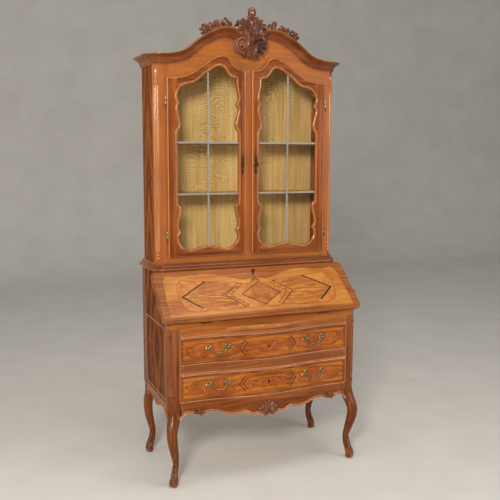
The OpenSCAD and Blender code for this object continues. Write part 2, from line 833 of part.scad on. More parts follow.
module cornice() {
    eaves = z_eaves - cornice_h;
    color(dark_walnut) from_back()
        for (row = cornice_rows) {
            difference() {
                plan(cab_plan(row[2]), eaves + row[0], eaves + row[1]);
                plan(cab_plan(0), eaves - 1, z_eaves + 1);
                slab([-hump_half, cab_d - 1, eaves - 1], [hump_half, cab_d + 99, z_eaves + 1]);
            }
            front(concat(cornice_line(hump_half, row[0]), backwards(cornice_line(hump_half, cornice_h))),
                cab_d, cab_d + row[2]);
        }
}

// ---- carving -------------------------------------------------------------------------------

crest_d = cab_d + 42;

// Heart of the cartouche: an outline with a scroll on one side and a leaf on the other. Its
// heights are shares of the crest's height.
cartouche = curve([[0, 0.034], [-36, 0.05], [-78, 0.127], [-90, 0.262], [-76, 0.388],
    [-50, 0.44], [-34, 0.557], [-60, 0.658], [-34, 0.726], [0, 0.709], [34, 0.743],
    [62, 0.675], [34, 0.574], [48, 0.473], [66, 0.388], [68, 0.262], [46, 0.127], [20, 0.05],
    [0, 0.034]], 4);

module crest_cartouche() {
    base = z_eaves;
    tip = z_eaves + crest_rise;
    color(dark_walnut) from_back() {
        difference() {
            front([for (i = [0 : len(cartouche) - 2])
                [cartouche[i][0], cartouche[i][1] * crest_rise + base]], cab_d, crest_d + 12);
            front(concat(cornice_line(hump_half, 0), backwards(cornice_line(hump_half, cornice_h))),
                cab_d - 1, crest_d);
        }
        translate([-56, -crest_d, base + 61])
            rotate([90, 0, 0]) cylinder(r1 = 33, r2 = 20, h = 26);
        // Turned finial.
        translate([0, -crest_d - 4, 0])
            rotate_extrude()
                polygon([[0, tip - 87], [13, tip - 79], [9, tip - 61], [13, tip - 45],
                    [20, tip - 26], [17, tip - 8], [8, tip], [0, tip]]);
    }
}

// A garland is a low bank on top of each hump with a row of blossoms. It starts and ends on
// corners of the cornice's line, counted from the middle.
bank_from = 5;
bank_to = 19;
blossom_r = 14;

module garlands() {
    step = hump_half / 32;
    foot = [for (i = [bank_from : bank_to]) [i * step, crown(i * step)]];
    bank = [for (i = [bank_from : bank_to])
        [i * step, crown(i * step) + 5 + 11 * sin(180 * (i - bank_from) / (bank_to - bank_from))]];
    color(dark_walnut) from_back() both_sides() {
        front(concat(foot, backwards(bank)), cab_d + 8, crest_d - 4);
        for (i = [bank_from + 2 : 2 : bank_to - 1])
            let (x = i * step, lift = (blossom_r + 1) * sqrt(1 + pow(crown_slope(x), 2)))
                translate([x, -crest_d + 18, crown(x) + lift])
                    rotate([90, 0, 0]) cylinder(r = blossom_r, h = 18, center = true);
    }
}

// ---- shelves -------------------------------------------------------------------------------

shelf_t = 9;
shelf_front = cab_d - 38;
shelf_tops = [door_z + door_h / 3 + 19, door_z + 2 * door_h / 3 - 17];

module shelves() {
    w = cab_w / 2 - board - 1;
    color(maple) from_back()
        for (z = shelf_tops) slab([-w, back_t + 2, z - shelf_t], [w, shelf_front, z]);
}

module shelf_pins() {
    color(brass) from_back()
        for (z = shelf_tops, d = [40, 150]) both_sides()
            translate([cab_w / 2 - board - 9, -d, z - shelf_t - 2.5])
                rotate([0, 90, 0]) cylinder(r = 2.5, h = 9);
}

// ---- doors ---------------------------------------------------------------------------------

module door() {
    difference() {
        front(door_outline, door_d, door_d + door_t);
        front(glass_outline, door_d - 1, door_d + door_t + 1);
        front(pane_outline(0), door_d - 1, door_d + rabbet);
    }
}

key_r = 2.4;

module door_left() {
    color(walnut) from_back() mirror([1, 0, 0]) door();
}

module door_right() {
    color(walnut) from_back()
        difference() {
            door();
            translate([escutcheon_x, -door_d - 4, escutcheon_z])
                rotate([90, 0, 0]) cylinder(r = key_r + slide_gap, h = door_t);
        }
}

module glass() {
    front(pane_outline(0.5), door_d + rabbet - glass_t, door_d + rabbet);
}

module glass_left() {
    color("lightblue", 0.4) from_back() mirror([1, 0, 0]) glass();
}

module glass_right() {
    color("lightblue", 0.4) from_back() glass();
}

came_w = 8;
came_t = 3.5;
came_x = (glass_in + glass_out) / 2;
came_rows = shelf_tops;

// Lead bars: one upright and two level ones that cross it, inside the glass opening.
module cames() {
    d0 = door_d + rabbet;
    intersection() {
        union() {
            slab([came_x - came_w / 2, d0, door_z], [came_x + came_w / 2, d0 + came_t, door_z + 960]);
            for (z = came_rows)
                slab([glass_in - 1, d0, z - came_w / 2], [glass_out + 1, d0 + came_t, z + came_w / 2]);
        }
        front(glass_outline, d0 - 1, d0 + came_t + 1);
    }
}

module cames_left() {
    color(lead) from_back() mirror([1, 0, 0]) cames();
}

module cames_right() {
    color(lead) from_back() cames();
}

hinge_rows = [door_z + 107, door_z + door_h - 102];

// An olive hinge stands on a pin. Its lower half is fixed and its upper half turns with the door.
module olive(z, up) {
    translate([hinge_x, -hinge_d, z])
        mirror([0, 0, up ? 0 : 1])
            rotate_extrude()
                polygon([[0, 0.2], [olive_r, 0.2], [olive_r, 20], [2.5, 27], [3.2, 31], [1.4, 35],
                    [0, 35]]);
}

module escutcheon() {
    translate([escutcheon_x, -door_d - door_t, escutcheon_z])
        rotate([90, 0, 0])
            difference() {
                linear_extrude(4)
                    polygon([for (i = [0 : 35]) let (a = 10 * i)
                        [(11 + 2 * cos(4 * a)) * cos(a), (24 + 3 * cos(6 * a)) * sin(a)]]);
                translate([0, 0, -1]) cylinder(r = key_r + slide_gap, h = 6);
            }
}

// Brass on a door: the turning halves of its hinges and the escutcheon.
module door_fittings() {
    for (z = hinge_rows) {
        olive(z, true);
        slab([door_out, hinge_d - 1.5, z + 2], [hinge_x, hinge_d + 1.5, z + 20]);
    }
    escutcheon();
}

module door_fittings_left() {
    color(brass) from_back() mirror([1, 0, 0]) door_fittings();
}

module door_fittings_right() {
    color(brass) from_back() door_fittings();
}

module door_key() {
    out = door_d + door_t;
    color(brass) from_back() {
        translate([escutcheon_x, -out + 9, escutcheon_z])
            rotate([90, 0, 0]) cylinder(r = key_r, h = 30);
        translate([escutcheon_x, -out - 26, escutcheon_z])
            rotate([90, 0, 90])
                difference() {
                    cylinder(r = 9, h = 3, center = true);
                    cylinder(r = 5.5, h = 5, center = true);
                }
    }
}

case_side_left();
case_side_right();
case_back();
case_bottom();
writing_board();
case_top();
front_leg_left();
front_leg_right();
rear_leg_left();
rear_leg_right();
front_apron();
side_apron_left();
side_apron_right();
drawer_rail();
bow_frieze();
drawer_runners();
gallery();
inner_drawer_left();
inner_drawer_middle();
inner_drawer_right();
fixed_hinge_halves();
fall_front();
fall_hinge_flaps();
fall_lock();
upper_drawer_front();
upper_drawer_box();
upper_drawer_brasses();
upper_bail_left();
upper_bail_right();
lower_drawer_front();
lower_drawer_box();
lower_drawer_brasses();
lower_bail_left();
lower_bail_right();
waist_moulding();
cabinet_side_left();
cabinet_side_right();
cabinet_back();
cabinet_bottom();
cabinet_top();
stile_left();
stile_right();
centre_mullion();
base_rail();
arched_frieze();
pilasters();
cornice();
crest_cartouche();
garlands();
shelves();
shelf_pins();
door_left();
door_right();
glass_left();
glass_right();
cames_left();
cames_right();
door_fittings_left();
door_fittings_right();
door_key();
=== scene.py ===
import json
import math

import bmesh
import bpy
from mathutils import Matrix, Vector
from mathutils.geometry import tessellate_polygon
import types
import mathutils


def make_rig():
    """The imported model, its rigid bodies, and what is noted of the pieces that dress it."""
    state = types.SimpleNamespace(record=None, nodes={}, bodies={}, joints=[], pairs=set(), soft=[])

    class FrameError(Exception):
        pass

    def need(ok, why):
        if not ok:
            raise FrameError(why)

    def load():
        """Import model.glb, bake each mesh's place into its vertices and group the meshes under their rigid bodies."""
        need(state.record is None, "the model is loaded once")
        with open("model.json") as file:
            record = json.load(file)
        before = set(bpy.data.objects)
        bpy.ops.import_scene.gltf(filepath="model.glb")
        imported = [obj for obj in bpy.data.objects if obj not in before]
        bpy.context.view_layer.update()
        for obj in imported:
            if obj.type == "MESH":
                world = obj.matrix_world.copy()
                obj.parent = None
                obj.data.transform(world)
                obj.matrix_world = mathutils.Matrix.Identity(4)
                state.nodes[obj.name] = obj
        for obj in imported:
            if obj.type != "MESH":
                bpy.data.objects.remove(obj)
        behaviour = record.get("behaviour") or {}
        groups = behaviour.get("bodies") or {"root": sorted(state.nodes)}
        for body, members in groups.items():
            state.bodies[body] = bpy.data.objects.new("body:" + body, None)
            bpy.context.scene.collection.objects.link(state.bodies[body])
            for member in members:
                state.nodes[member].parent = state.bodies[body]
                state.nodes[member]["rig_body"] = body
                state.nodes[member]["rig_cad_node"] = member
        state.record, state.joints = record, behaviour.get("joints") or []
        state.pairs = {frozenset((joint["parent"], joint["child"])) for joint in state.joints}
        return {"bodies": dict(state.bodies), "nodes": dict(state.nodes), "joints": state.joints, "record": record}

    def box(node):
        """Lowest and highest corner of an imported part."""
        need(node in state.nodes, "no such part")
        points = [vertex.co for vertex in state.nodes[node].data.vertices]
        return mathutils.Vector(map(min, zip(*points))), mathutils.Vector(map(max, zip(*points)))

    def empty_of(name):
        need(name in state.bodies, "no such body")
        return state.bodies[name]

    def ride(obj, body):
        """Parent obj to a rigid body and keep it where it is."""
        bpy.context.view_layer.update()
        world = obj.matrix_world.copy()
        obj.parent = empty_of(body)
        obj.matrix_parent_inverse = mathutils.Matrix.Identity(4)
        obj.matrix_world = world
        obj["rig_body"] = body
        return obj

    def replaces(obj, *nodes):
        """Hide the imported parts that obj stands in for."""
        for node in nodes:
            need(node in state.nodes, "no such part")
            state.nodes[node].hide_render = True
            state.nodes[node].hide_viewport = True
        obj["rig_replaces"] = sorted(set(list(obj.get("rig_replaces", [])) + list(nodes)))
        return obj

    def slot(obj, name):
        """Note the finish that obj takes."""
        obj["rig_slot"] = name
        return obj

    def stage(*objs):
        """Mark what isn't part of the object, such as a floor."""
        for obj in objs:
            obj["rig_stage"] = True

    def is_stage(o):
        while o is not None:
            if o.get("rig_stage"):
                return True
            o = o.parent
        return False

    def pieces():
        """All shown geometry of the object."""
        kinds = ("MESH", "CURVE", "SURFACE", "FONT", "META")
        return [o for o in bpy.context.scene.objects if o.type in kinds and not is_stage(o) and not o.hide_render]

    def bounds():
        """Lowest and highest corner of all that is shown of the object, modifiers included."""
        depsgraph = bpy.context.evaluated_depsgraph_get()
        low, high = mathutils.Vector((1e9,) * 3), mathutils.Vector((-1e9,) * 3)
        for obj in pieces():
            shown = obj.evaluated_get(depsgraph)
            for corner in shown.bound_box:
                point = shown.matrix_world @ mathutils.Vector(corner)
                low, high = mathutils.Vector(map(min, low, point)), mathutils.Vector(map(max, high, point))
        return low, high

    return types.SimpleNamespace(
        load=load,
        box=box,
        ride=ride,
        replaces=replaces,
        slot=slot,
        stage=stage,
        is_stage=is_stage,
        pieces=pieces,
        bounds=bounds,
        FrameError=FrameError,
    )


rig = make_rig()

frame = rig.load()
CAD_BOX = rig.bounds()

# Shapes are drawn in millimetres: x across, d forwards from the wall plane, z up.
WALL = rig.box("cabinet_back")[1][1]


def mm(node, corner, axis):
    """One coordinate of a CAD node's box, in millimetres."""
    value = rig.box(node)[corner][axis]
    return (WALL - value) * 1000 if axis == 1 else value * 1000


LEG_H = mm("case_bottom", 0, 2)
Z_LOWER = mm("lower_drawer_box", 0, 2)
Z_RAIL = mm("drawer_rail", 0, 2)
Z_UPPER = mm("drawer_rail", 1, 2)
Z_FRIEZE = mm("bow_frieze", 0, 2)
Z_BOARD = mm("bow_frieze", 1, 2)
Z_DESK = mm("writing_board", 1, 2)
Z_WAIST = mm("waist_moulding", 0, 2)
Z_CAB = mm("waist_moulding", 1, 2)
Z_EAVES = mm("cabinet_back", 1, 2)
CAB_HALF = mm("cabinet_side_right", 1, 0)
CAB_D = mm("stile_left", 0, 1)
CANT = 28        # width of the cabinet's canted corners on each face
DOOR_Z = mm("door_left", 0, 2)
DOOR_IN = mm("door_right", 0, 0)
DOOR_OUT = mm("door_right", 1, 0)
FLAT = 468       # depth of the case front beside the posts
BOW = 32         # how far its middle bows out
BOW_T = 26       # thickness of the bowed boards
POST = 60        # side of the front corner posts
REAR_POST = 50   # side of the rear ones
DOOR_DROP = 106  # from the eaves down to the outer top corner of a door
DOOR_T = 14.5    # thickness of a door frame
DOOR_H = Z_EAVES - DOOR_DROP - DOOR_Z
POST_IN = mm("front_apron", 1, 0)
SLOPE = math.radians(39.2)
FALL_LEN = 302
FALL_T = 24
PIVOT_D = 468.8
TIP = mm("crest_cartouche", 1, 2)


def in_scene(x, d, z):
    return Vector((x / 1000, WALL - d / 1000, z / 1000))


# ---- curves ---------------------------------------------------------------------------------

def smooth(points, n=6, closed=False):
    """Catmull-Rom curve through points of any dimension."""
    pts = [tuple(p) for p in points]
    count = len(pts)
    out = []
    last = count if closed else count - 1
    for i in range(last):
        if closed:
            a, b, c, d = (pts[(i + k - 1) % count] for k in range(4))
        else:
            a, b = pts[max(i - 1, 0)], pts[i]
            c, d = pts[i + 1], pts[min(i + 2, count - 1)]
        for j in range(n):
            t = j / n
            out.append(tuple(
                0.5 * (2 * b[k] + (c[k] - a[k]) * t
                       + (2 * a[k] - 5 * b[k] + 4 * c[k] - d[k]) * t * t
                       + (3 * b[k] - a[k] - 3 * c[k] + d[k]) * t ** 3)
                for k in range(len(b))))
    if not closed:
        out.append(pts[-1])
    return out


def at(curve, t):
    """Point of a polyline at a share t of its count."""
    f = max(0.0, min(1.0, t)) * (len(curve) - 1)
    i = min(int(f), len(curve) - 2)
    return Vector(curve[i]).lerp(Vector(curve[i + 1]), f - i)


def lookup(x, rows):
    if x <= rows[0][0]:
        return rows[0][1]
    for (x0, y0), (x1, y1) in zip(rows, rows[1:]):
        if x <= x1:
            return y0 + (y1 - y0) * (x - x0) / (x1 - x0) if x1 > x0 else y1
    return rows[-1][1]


def moved(points, x, z):
    return [(p[0] + x, p[1] + z) for p in points]


BOW_HALF = POST_IN - 91


def bow_at(x):
    return FLAT + BOW * math.cos(math.radians(90 * min(1, abs(x) / BOW_HALF))) ** 2


CORNICE_RISE = smooth([(0, 80), (0.075, 98), (0.16, 127), (0.24, 133), (0.32, 128), (0.406, 112),
                       (0.513, 86), (0.598, 56), (0.667, 31), (0.752, 12), (0.855, 2), (0.94, 0),
                       (1, 0)], 5)


def crown(x):
    return Z_EAVES + lookup(abs(x) / CAB_HALF, CORNICE_RISE)


def crown_slope(x):
    return (crown(abs(x) + 4) - crown(max(0, abs(x) - 4))) / 8


# ---- meshes ---------------------------------------------------------------------------------

def piece(name, shape, material, body, swap=(), slot="walnut", angle=40):
    """A closed mesh in millimetres that rides on a body."""
    verts, faces = shape
    mesh = bpy.data.meshes.new(name)
    mesh.from_pydata([in_scene(*v) for v in verts], [], faces)
    bm = bmesh.new()
    bm.from_mesh(mesh)
    bmesh.ops.remove_doubles(bm, verts=bm.verts, dist=1e-6)
    bmesh.ops.recalc_face_normals(bm, faces=bm.faces)
    bm.to_mesh(mesh)
    bm.free()
    obj = bpy.data.objects.new(name, mesh)
    bpy.context.scene.collection.objects.link(obj)
    mesh.shade_smooth()
    mesh.set_sharp_from_angle(angle=math.radians(angle))
    mesh.materials.clear()
    mesh.materials.append(material)
    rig.ride(obj, body)
    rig.slot(obj, slot)
    if swap:
        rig.replaces(obj, *swap)
    return obj


class Shape:
    """Collects closed parts of one carved piece. It unpacks as verts and faces."""

    def __init__(self):
        self.verts = []
        self.faces = []

    def add(self, shape):
        verts, faces = shape
        base = len(self.verts)
        self.verts += [tuple(v) for v in verts]
        self.faces += [tuple(base + i for i in f) for f in faces]

    def __iter__(self):
        yield self.verts
        yield self.faces


def loft(rings, caps=True):
    """Faces over a stack of equal rings."""
    n = len(rings[0])
    verts = [tuple(v) for r in rings for v in r]
    faces = []
    for k in range(len(rings) - 1):
        for i in range(n):
            j = (i + 1) % n
            faces.append((k * n + i, k * n + j, (k + 1) * n + j, (k + 1) * n + i))
    if caps:
        faces.append(tuple(range(n)))
        faces.append(tuple((len(rings) - 1) * n + i for i in reversed(range(n))))
    return verts, faces


def tube(path, radius, sides=10, flat=1.0, up=(0, 1, 0)):
    """A round or flattened bar along a path of (x, d, z). radius is a number or f(t)."""
    pts = [Vector(p) for p in path]
    up = Vector(up)
    rings = []
    last = len(pts) - 1
    for i, p in enumerate(pts):
        t = (pts[min(i + 1, last)] - pts[max(i - 1, 0)]).normalized()
        a = up.cross(t)
        if a.length < 1e-6:
            a = Vector((1, 0, 0)).cross(t)
        a.normalize()
        b = t.cross(a)
        r = radius(i / last) if callable(radius) else radius
        rings.append([p + a * (r * math.cos(2 * math.pi * k / sides))
                      + b * (r * flat * math.sin(2 * math.pi * k / sides)) for k in range(sides)])
    return loft(rings)


def lathe(profile, centre, sides=32, lobes=0, depth=0.0, axis="z"):
    """Turned body from (radius, height) rows, with optional gadroons."""
    cx, cd, cz = centre
    rings = []
    for r, h in profile:
        ring = []
        for k in range(sides):
            a = 2 * math.pi * k / sides
            rr = r * (1 - depth * (0.5 - 0.5 * math.cos(lobes * a))) if lobes else r
            u, v = rr * math.cos(a), rr * math.sin(a)
            ring.append((cx + u, cd + v, cz + h) if axis == "z" else (cx + u, cd + h, cz + v))
        rings.append(ring)
    return loft(rings)


def leaf(path, width, crown_h=4.0, lobes=5, face=(0, 1, 0), thick=2.5, curl=4.0, cols=9, rows=26,
         cut=0.3, ribs=0.8, taper=None):
    """An acanthus leaf along a path of (x, d, z), its face turned towards `face`."""
    line = smooth(path, 8)
    face = Vector(face).normalized()
    front, back = [], []
    for i in range(rows + 1):
        t = i / rows
        c = at(line, t)
        tangent = (at(line, min(1, t + 0.03)) - at(line, max(0, t - 0.03))).normalized()
        side = tangent.cross(face)
        if side.length < 0.05:
            side = Vector((1, 0, 0))
        side.normalize()
        out = side.cross(tangent)
        if out.dot(face) < 0:
            out = -out
        shape = taper(t) if taper else math.sin(math.pi * min(1, 0.12 + 0.88 * t)) ** 0.7
        lobe = 1 - cut + cut * abs(math.sin(math.pi * lobes * t)) ** 0.6
        w = width * shape * lobe
        fr, br = [], []
        for k in range(cols):
            s = 2 * k / (cols - 1) - 1
            lean = at(line, min(1, t + 0.05 * abs(s)))
            h = crown_h * (1 - s * s) - curl * abs(s) ** 3 * (0.4 + 0.6 * t)
            h += ribs * math.cos(2 * math.pi * 2 * s) - ribs * 1.4 * math.exp(-(s * 6) ** 2)
            q = lean + side * (w * s) + out * h
            fr.append(q)
            br.append(q - out * thick * (1 - 0.6 * abs(s)))
        front.append(fr)
        back.append(br)
    rings = [f + list(reversed(b)) for f, b in zip(front, back)]
    return loft(rings)


def petals(centre, count, radius, rise=6.0, width=0.75, turn=0.0):
    """A carved flower that faces forwards: rings of petals round a beaded button."""
    cx, cd, cz = centre
    around = 12 * count
    rows = 9
    rings = []
    for i in range(rows):
        t = i / (rows - 1)
        ring = []
        for k in range(around):
            a = 2 * math.pi * k / around + turn
            lobe = abs(math.cos(count * (a - turn) / 2))
            edge = radius * (1 - (1 - width) * (1 - lobe ** 0.5) - 0.12 * (lobe > 0.985) * t)
            r = edge * (0.06 + 0.94 * t)
            h = rise * (math.sin(math.pi * min(1, t * 1.1)) * (0.35 + 0.65 * lobe)
                        + 0.25 * t * lobe - 0.25 * t)
            u, v = r * math.cos(a), r * math.sin(a)
            ring.append((cx + u, cd + h, cz + v))
        rings.append(ring)
    base = []
    for k in range(around):
        v = rings[-1][k]
        base.append((cx + (v[0] - cx) * 0.9, cd - rise * 0.45, cz + (v[2] - cz) * 0.9))
    rings.append(base)
    shape = Shape()
    shape.add(loft(rings))
    b = radius * 0.28
    dome = [(b * math.cos(q), rise * 0.75 + b * 0.8 * math.sin(q))
            for q in (0, 0.3, 0.6, 0.9, 1.2, 1.5)]
    shape.add(lathe([(b, 0)] + dome, centre, 16, axis="d"))
    return shape


def spiral(centre, start, turns, r0, r1, band, depth_out, hand, rise, n):
    """A volute: a tapering band that winds in to a raised eye."""
    cx, cd, cz = centre
    path = []
    for i in range(n + 1):
        t = i / n
        a = math.radians(start) + hand * 2 * math.pi * turns * t
        r = r0 * (r1 / r0) ** t
        path.append((cx + r * math.cos(a), cd + depth_out + rise * t, cz + r * math.sin(a)))
    shape = Shape()
    shape.add(tube(path, lambda t: band * (1 - 0.62 * t), 12, 0.8))
    eye = r1 * 1.15
    ex, ed, ez = cx, cd + depth_out + rise * 0.7, cz
    shape.add(lathe([(eye, -rise * 0.6)] + [(eye * math.cos(q), eye * 0.9 * math.sin(q) + 1)
              for q in (0, 0.35, 0.7, 1.05, 1.4, 1.54)], (ex, ed, ez), 16, axis="d"))
    return shape


def offset_loop(loop, amount):
    """Every corner of a closed outline moved along its mitre, outwards of a clockwise loop."""
    n = len(loop)
    out = []
    for i in range(n):
        a, b, c = Vector(loop[i - 1]), Vector(loop[i]), Vector(loop[(i + 1) % n])
        e1, e2 = (b - a), (c - b)
        if e1.length < 1e-9 or e2.length < 1e-9:
            e1 = e2 = c - a
        n1 = Vector((e1.y, -e1.x)).normalized()
        n2 = Vector((e2.y, -e2.x)).normalized()
        m = n1 + n2
        if m.length < 0.3:
            m = n1
        m.normalize()
        scale = 1 / max(0.55, m.dot(n1))
        q = b + m * amount * scale
        out.append((q.x, q.y))
    return out


def area(loop):
    return sum(a[0] * b[1] - b[0] * a[1] for a, b in zip(loop, loop[1:] + loop[:1])) / 2


def clean(loop, least=0.2):
    """Drops repeated corners and makes the outline run anticlockwise."""
    out = []
    for p in loop:
        if not out or math.dist(p, out[-1]) > least:
            out.append((p[0], p[1]))
    if math.dist(out[0], out[-1]) <= least:
        out.pop()
    return out if area(out) > 0 else out[::-1]


def framed(loops, place):
    """A plate with moulded edges. loops is [(outline, rows)]: the first is the outer edge, the
    others are holes. A row is (distance in from the edge, height above the plate's back)."""
    verts, faces = [], []
    fronts, backs = [], []
    for index, (loop, rows) in enumerate(loops):
        loop = clean(loop)
        inward = -1 if index == 0 else 1
        n = len(loop)
        start = len(verts)
        for into, h in rows:
            pts = offset_loop(loop, inward * into) if into else loop
            verts += [(x, z, h) for x, z in pts]
        for k in range(len(rows) - 1):
            for i in range(n):
                j = (i + 1) % n
                faces.append((start + k * n + i, start + k * n + j,
                              start + (k + 1) * n + j, start + (k + 1) * n + i))
        backs.append(range(start, start + n))
        fronts.append(range(len(verts) - n, len(verts)))
    for group in (fronts, backs):
        ids = [i for g in group for i in g]
        tris = tessellate_polygon([[Vector((verts[i][0], verts[i][1], 0)) for i in g] for g in group])
        faces += [tuple(ids[i] for i in t) for t in tris]
    return [place(*v) for v in verts], faces


def inlay(loop, top, step, place):
    """A thin plate of veneer, cut into strips `step` wide so that it can follow a curve.
    Its underside is sunk a little, so nothing floats. place(x, z, h) puts it on the surface."""
    bm = bmesh.new()
    ids = [bm.verts.new((x, z, 0)) for x, z in clean(loop)]
    for t in tessellate_polygon([[Vector((x, z, 0)) for x, z in clean(loop)]]):
        try:
            bm.faces.new([ids[i] for i in t])
        except ValueError:
            pass
    if step:
        xs = [v.co.x for v in bm.verts]
        x = math.ceil(min(xs) / step) * step
        while x < max(xs):
            bmesh.ops.bisect_plane(bm, geom=bm.verts[:] + bm.edges[:] + bm.faces[:],
                                   plane_co=(x + 0.013, 0, 0), plane_no=(1, 0, 0))
            x += step
    bmesh.ops.remove_doubles(bm, verts=bm.verts, dist=0.01)
    bm.verts.ensure_lookup_table()
    n = len(bm.verts)
    verts = [(v.co.x, v.co.y) for v in bm.verts]
    faces = [tuple(v.index for v in f.verts) for f in bm.faces]
    rim = [(e.verts[0].index, e.verts[1].index) for e in bm.edges if len(e.link_faces) == 1]
    bm.free()
    out = [place(x, z, top) for x, z in verts] + [place(x, z, top - 0.6) for x, z in verts]
    all_faces = faces + [tuple(n + i for i in reversed(f)) for f in faces]
    all_faces += [(a, b, n + b, n + a) for a, b in rim]
    return out, all_faces


# ---- materials ------------------------------------------------------------------------------

class Graph:
    """Short spelling for building a node material."""

    def __init__(self, name):
        self.material = bpy.data.materials.new(name)
        self.material.use_nodes = True
        self.nodes = self.material.node_tree.nodes
        self.links = self.material.node_tree.links
        self.shader = self.nodes["Principled BSDF"]
        self.coords = self.node("ShaderNodeTexCoord").outputs["Object"]

    def node(self, kind, **values):
        n = self.nodes.new(kind)
        for key, value in values.items():
            setattr(n, key, value)
        return n

    def put(self, socket, value):
        if isinstance(value, bpy.types.NodeSocket):
            self.links.new(value, socket)
        else:
            socket.default_value = value

    def math(self, op, a, b=0.0):
        n = self.node("ShaderNodeMath", operation=op)
        for socket, value in zip(n.inputs, (a, b)):
            self.put(socket, value)
        return n.outputs[0]

    def axes(self, vector=None):
        n = self.node("ShaderNodeSeparateXYZ")
        self.links.new(vector or self.coords, n.inputs[0])
        return n.outputs

    def vector(self, x, y, z):
        n = self.node("ShaderNodeCombineXYZ")
        for socket, value in zip(n.inputs, (x, y, z)):
            self.put(socket, value)
        return n.outputs[0]

    def scaled(self, vector, scale, rotation=(0, 0, 0)):
        n = self.node("ShaderNodeMapping")
        self.links.new(vector, n.inputs[0])
        n.inputs["Scale"].default_value = scale
        n.inputs["Rotation"].default_value = rotation
        return n.outputs[0]

    def noise(self, vector, scale, detail=4.0, rough=0.55, distortion=0.0):
        n = self.node("ShaderNodeTexNoise")
        self.links.new(vector, n.inputs["Vector"])
        n.inputs["Scale"].default_value = scale
        n.inputs["Detail"].default_value = detail
        n.inputs["Roughness"].default_value = rough
        n.inputs["Distortion"].default_value = distortion
        return n.outputs["Fac"]

    def ramp(self, value, stops):
        n = self.node("ShaderNodeValToRGB")
        while len(n.color_ramp.elements) < len(stops):
            n.color_ramp.elements.new(0.5)
        for element, (place, colour) in zip(n.color_ramp.elements, stops):
            element.position = place
            element.color = (*colour, 1)
        self.links.new(value, n.inputs[0])
        return n.outputs[0]

    def spread(self, value, low, high, to_low=0.0, to_high=1.0):
        n = self.node("ShaderNodeMapRange")
        self.put(n.inputs[0], value)
        for socket, v in zip(n.inputs[1:5], (low, high, to_low, to_high)):
            socket.default_value = v
        return n.outputs[0]

    def mix(self, factor, a, b, mode="MIX"):
        n = self.node("ShaderNodeMix", data_type="RGBA", blend_type=mode)
        self.put(n.inputs[0], factor)
        for socket, value in ((n.inputs[6], a), (n.inputs[7], b)):
            self.put(socket, value if isinstance(value, bpy.types.NodeSocket) else (*value, 1))
        return n.outputs[2]

    def finish(self, colour, rough, height=None, bump=0.1, reach=0.0006, metal=0.0, coat=0.0,
               specular=0.2):
        self.put(self.shader.inputs["Base Color"], colour)
        self.put(self.shader.inputs["Roughness"], rough)
        self.shader.inputs["Metallic"].default_value = metal
        self.shader.inputs["Specular IOR Level"].default_value = specular
        self.shader.inputs["Coat Weight"].default_value = coat
        self.shader.inputs["Coat Roughness"].default_value = 0.14
        if height is not None:
            n = self.node("ShaderNodeBump")
            n.inputs["Strength"].default_value = bump
            n.inputs["Distance"].default_value = reach
            self.links.new(height, n.inputs["Height"])
            self.links.new(n.outputs[0], self.shader.inputs["Normal"])
        return self.material


def srgb(r, g, b):
    def one(v):
        v /= 255
        return v / 12.92 if v <= 0.04045 else ((v + 0.055) / 1.055) ** 2.4
    return one(r), one(g), one(b)


GRAIN = {"x": (0.07, 1, 1), "y": (1, 0.07, 1), "z": (1, 1, 0.07)}


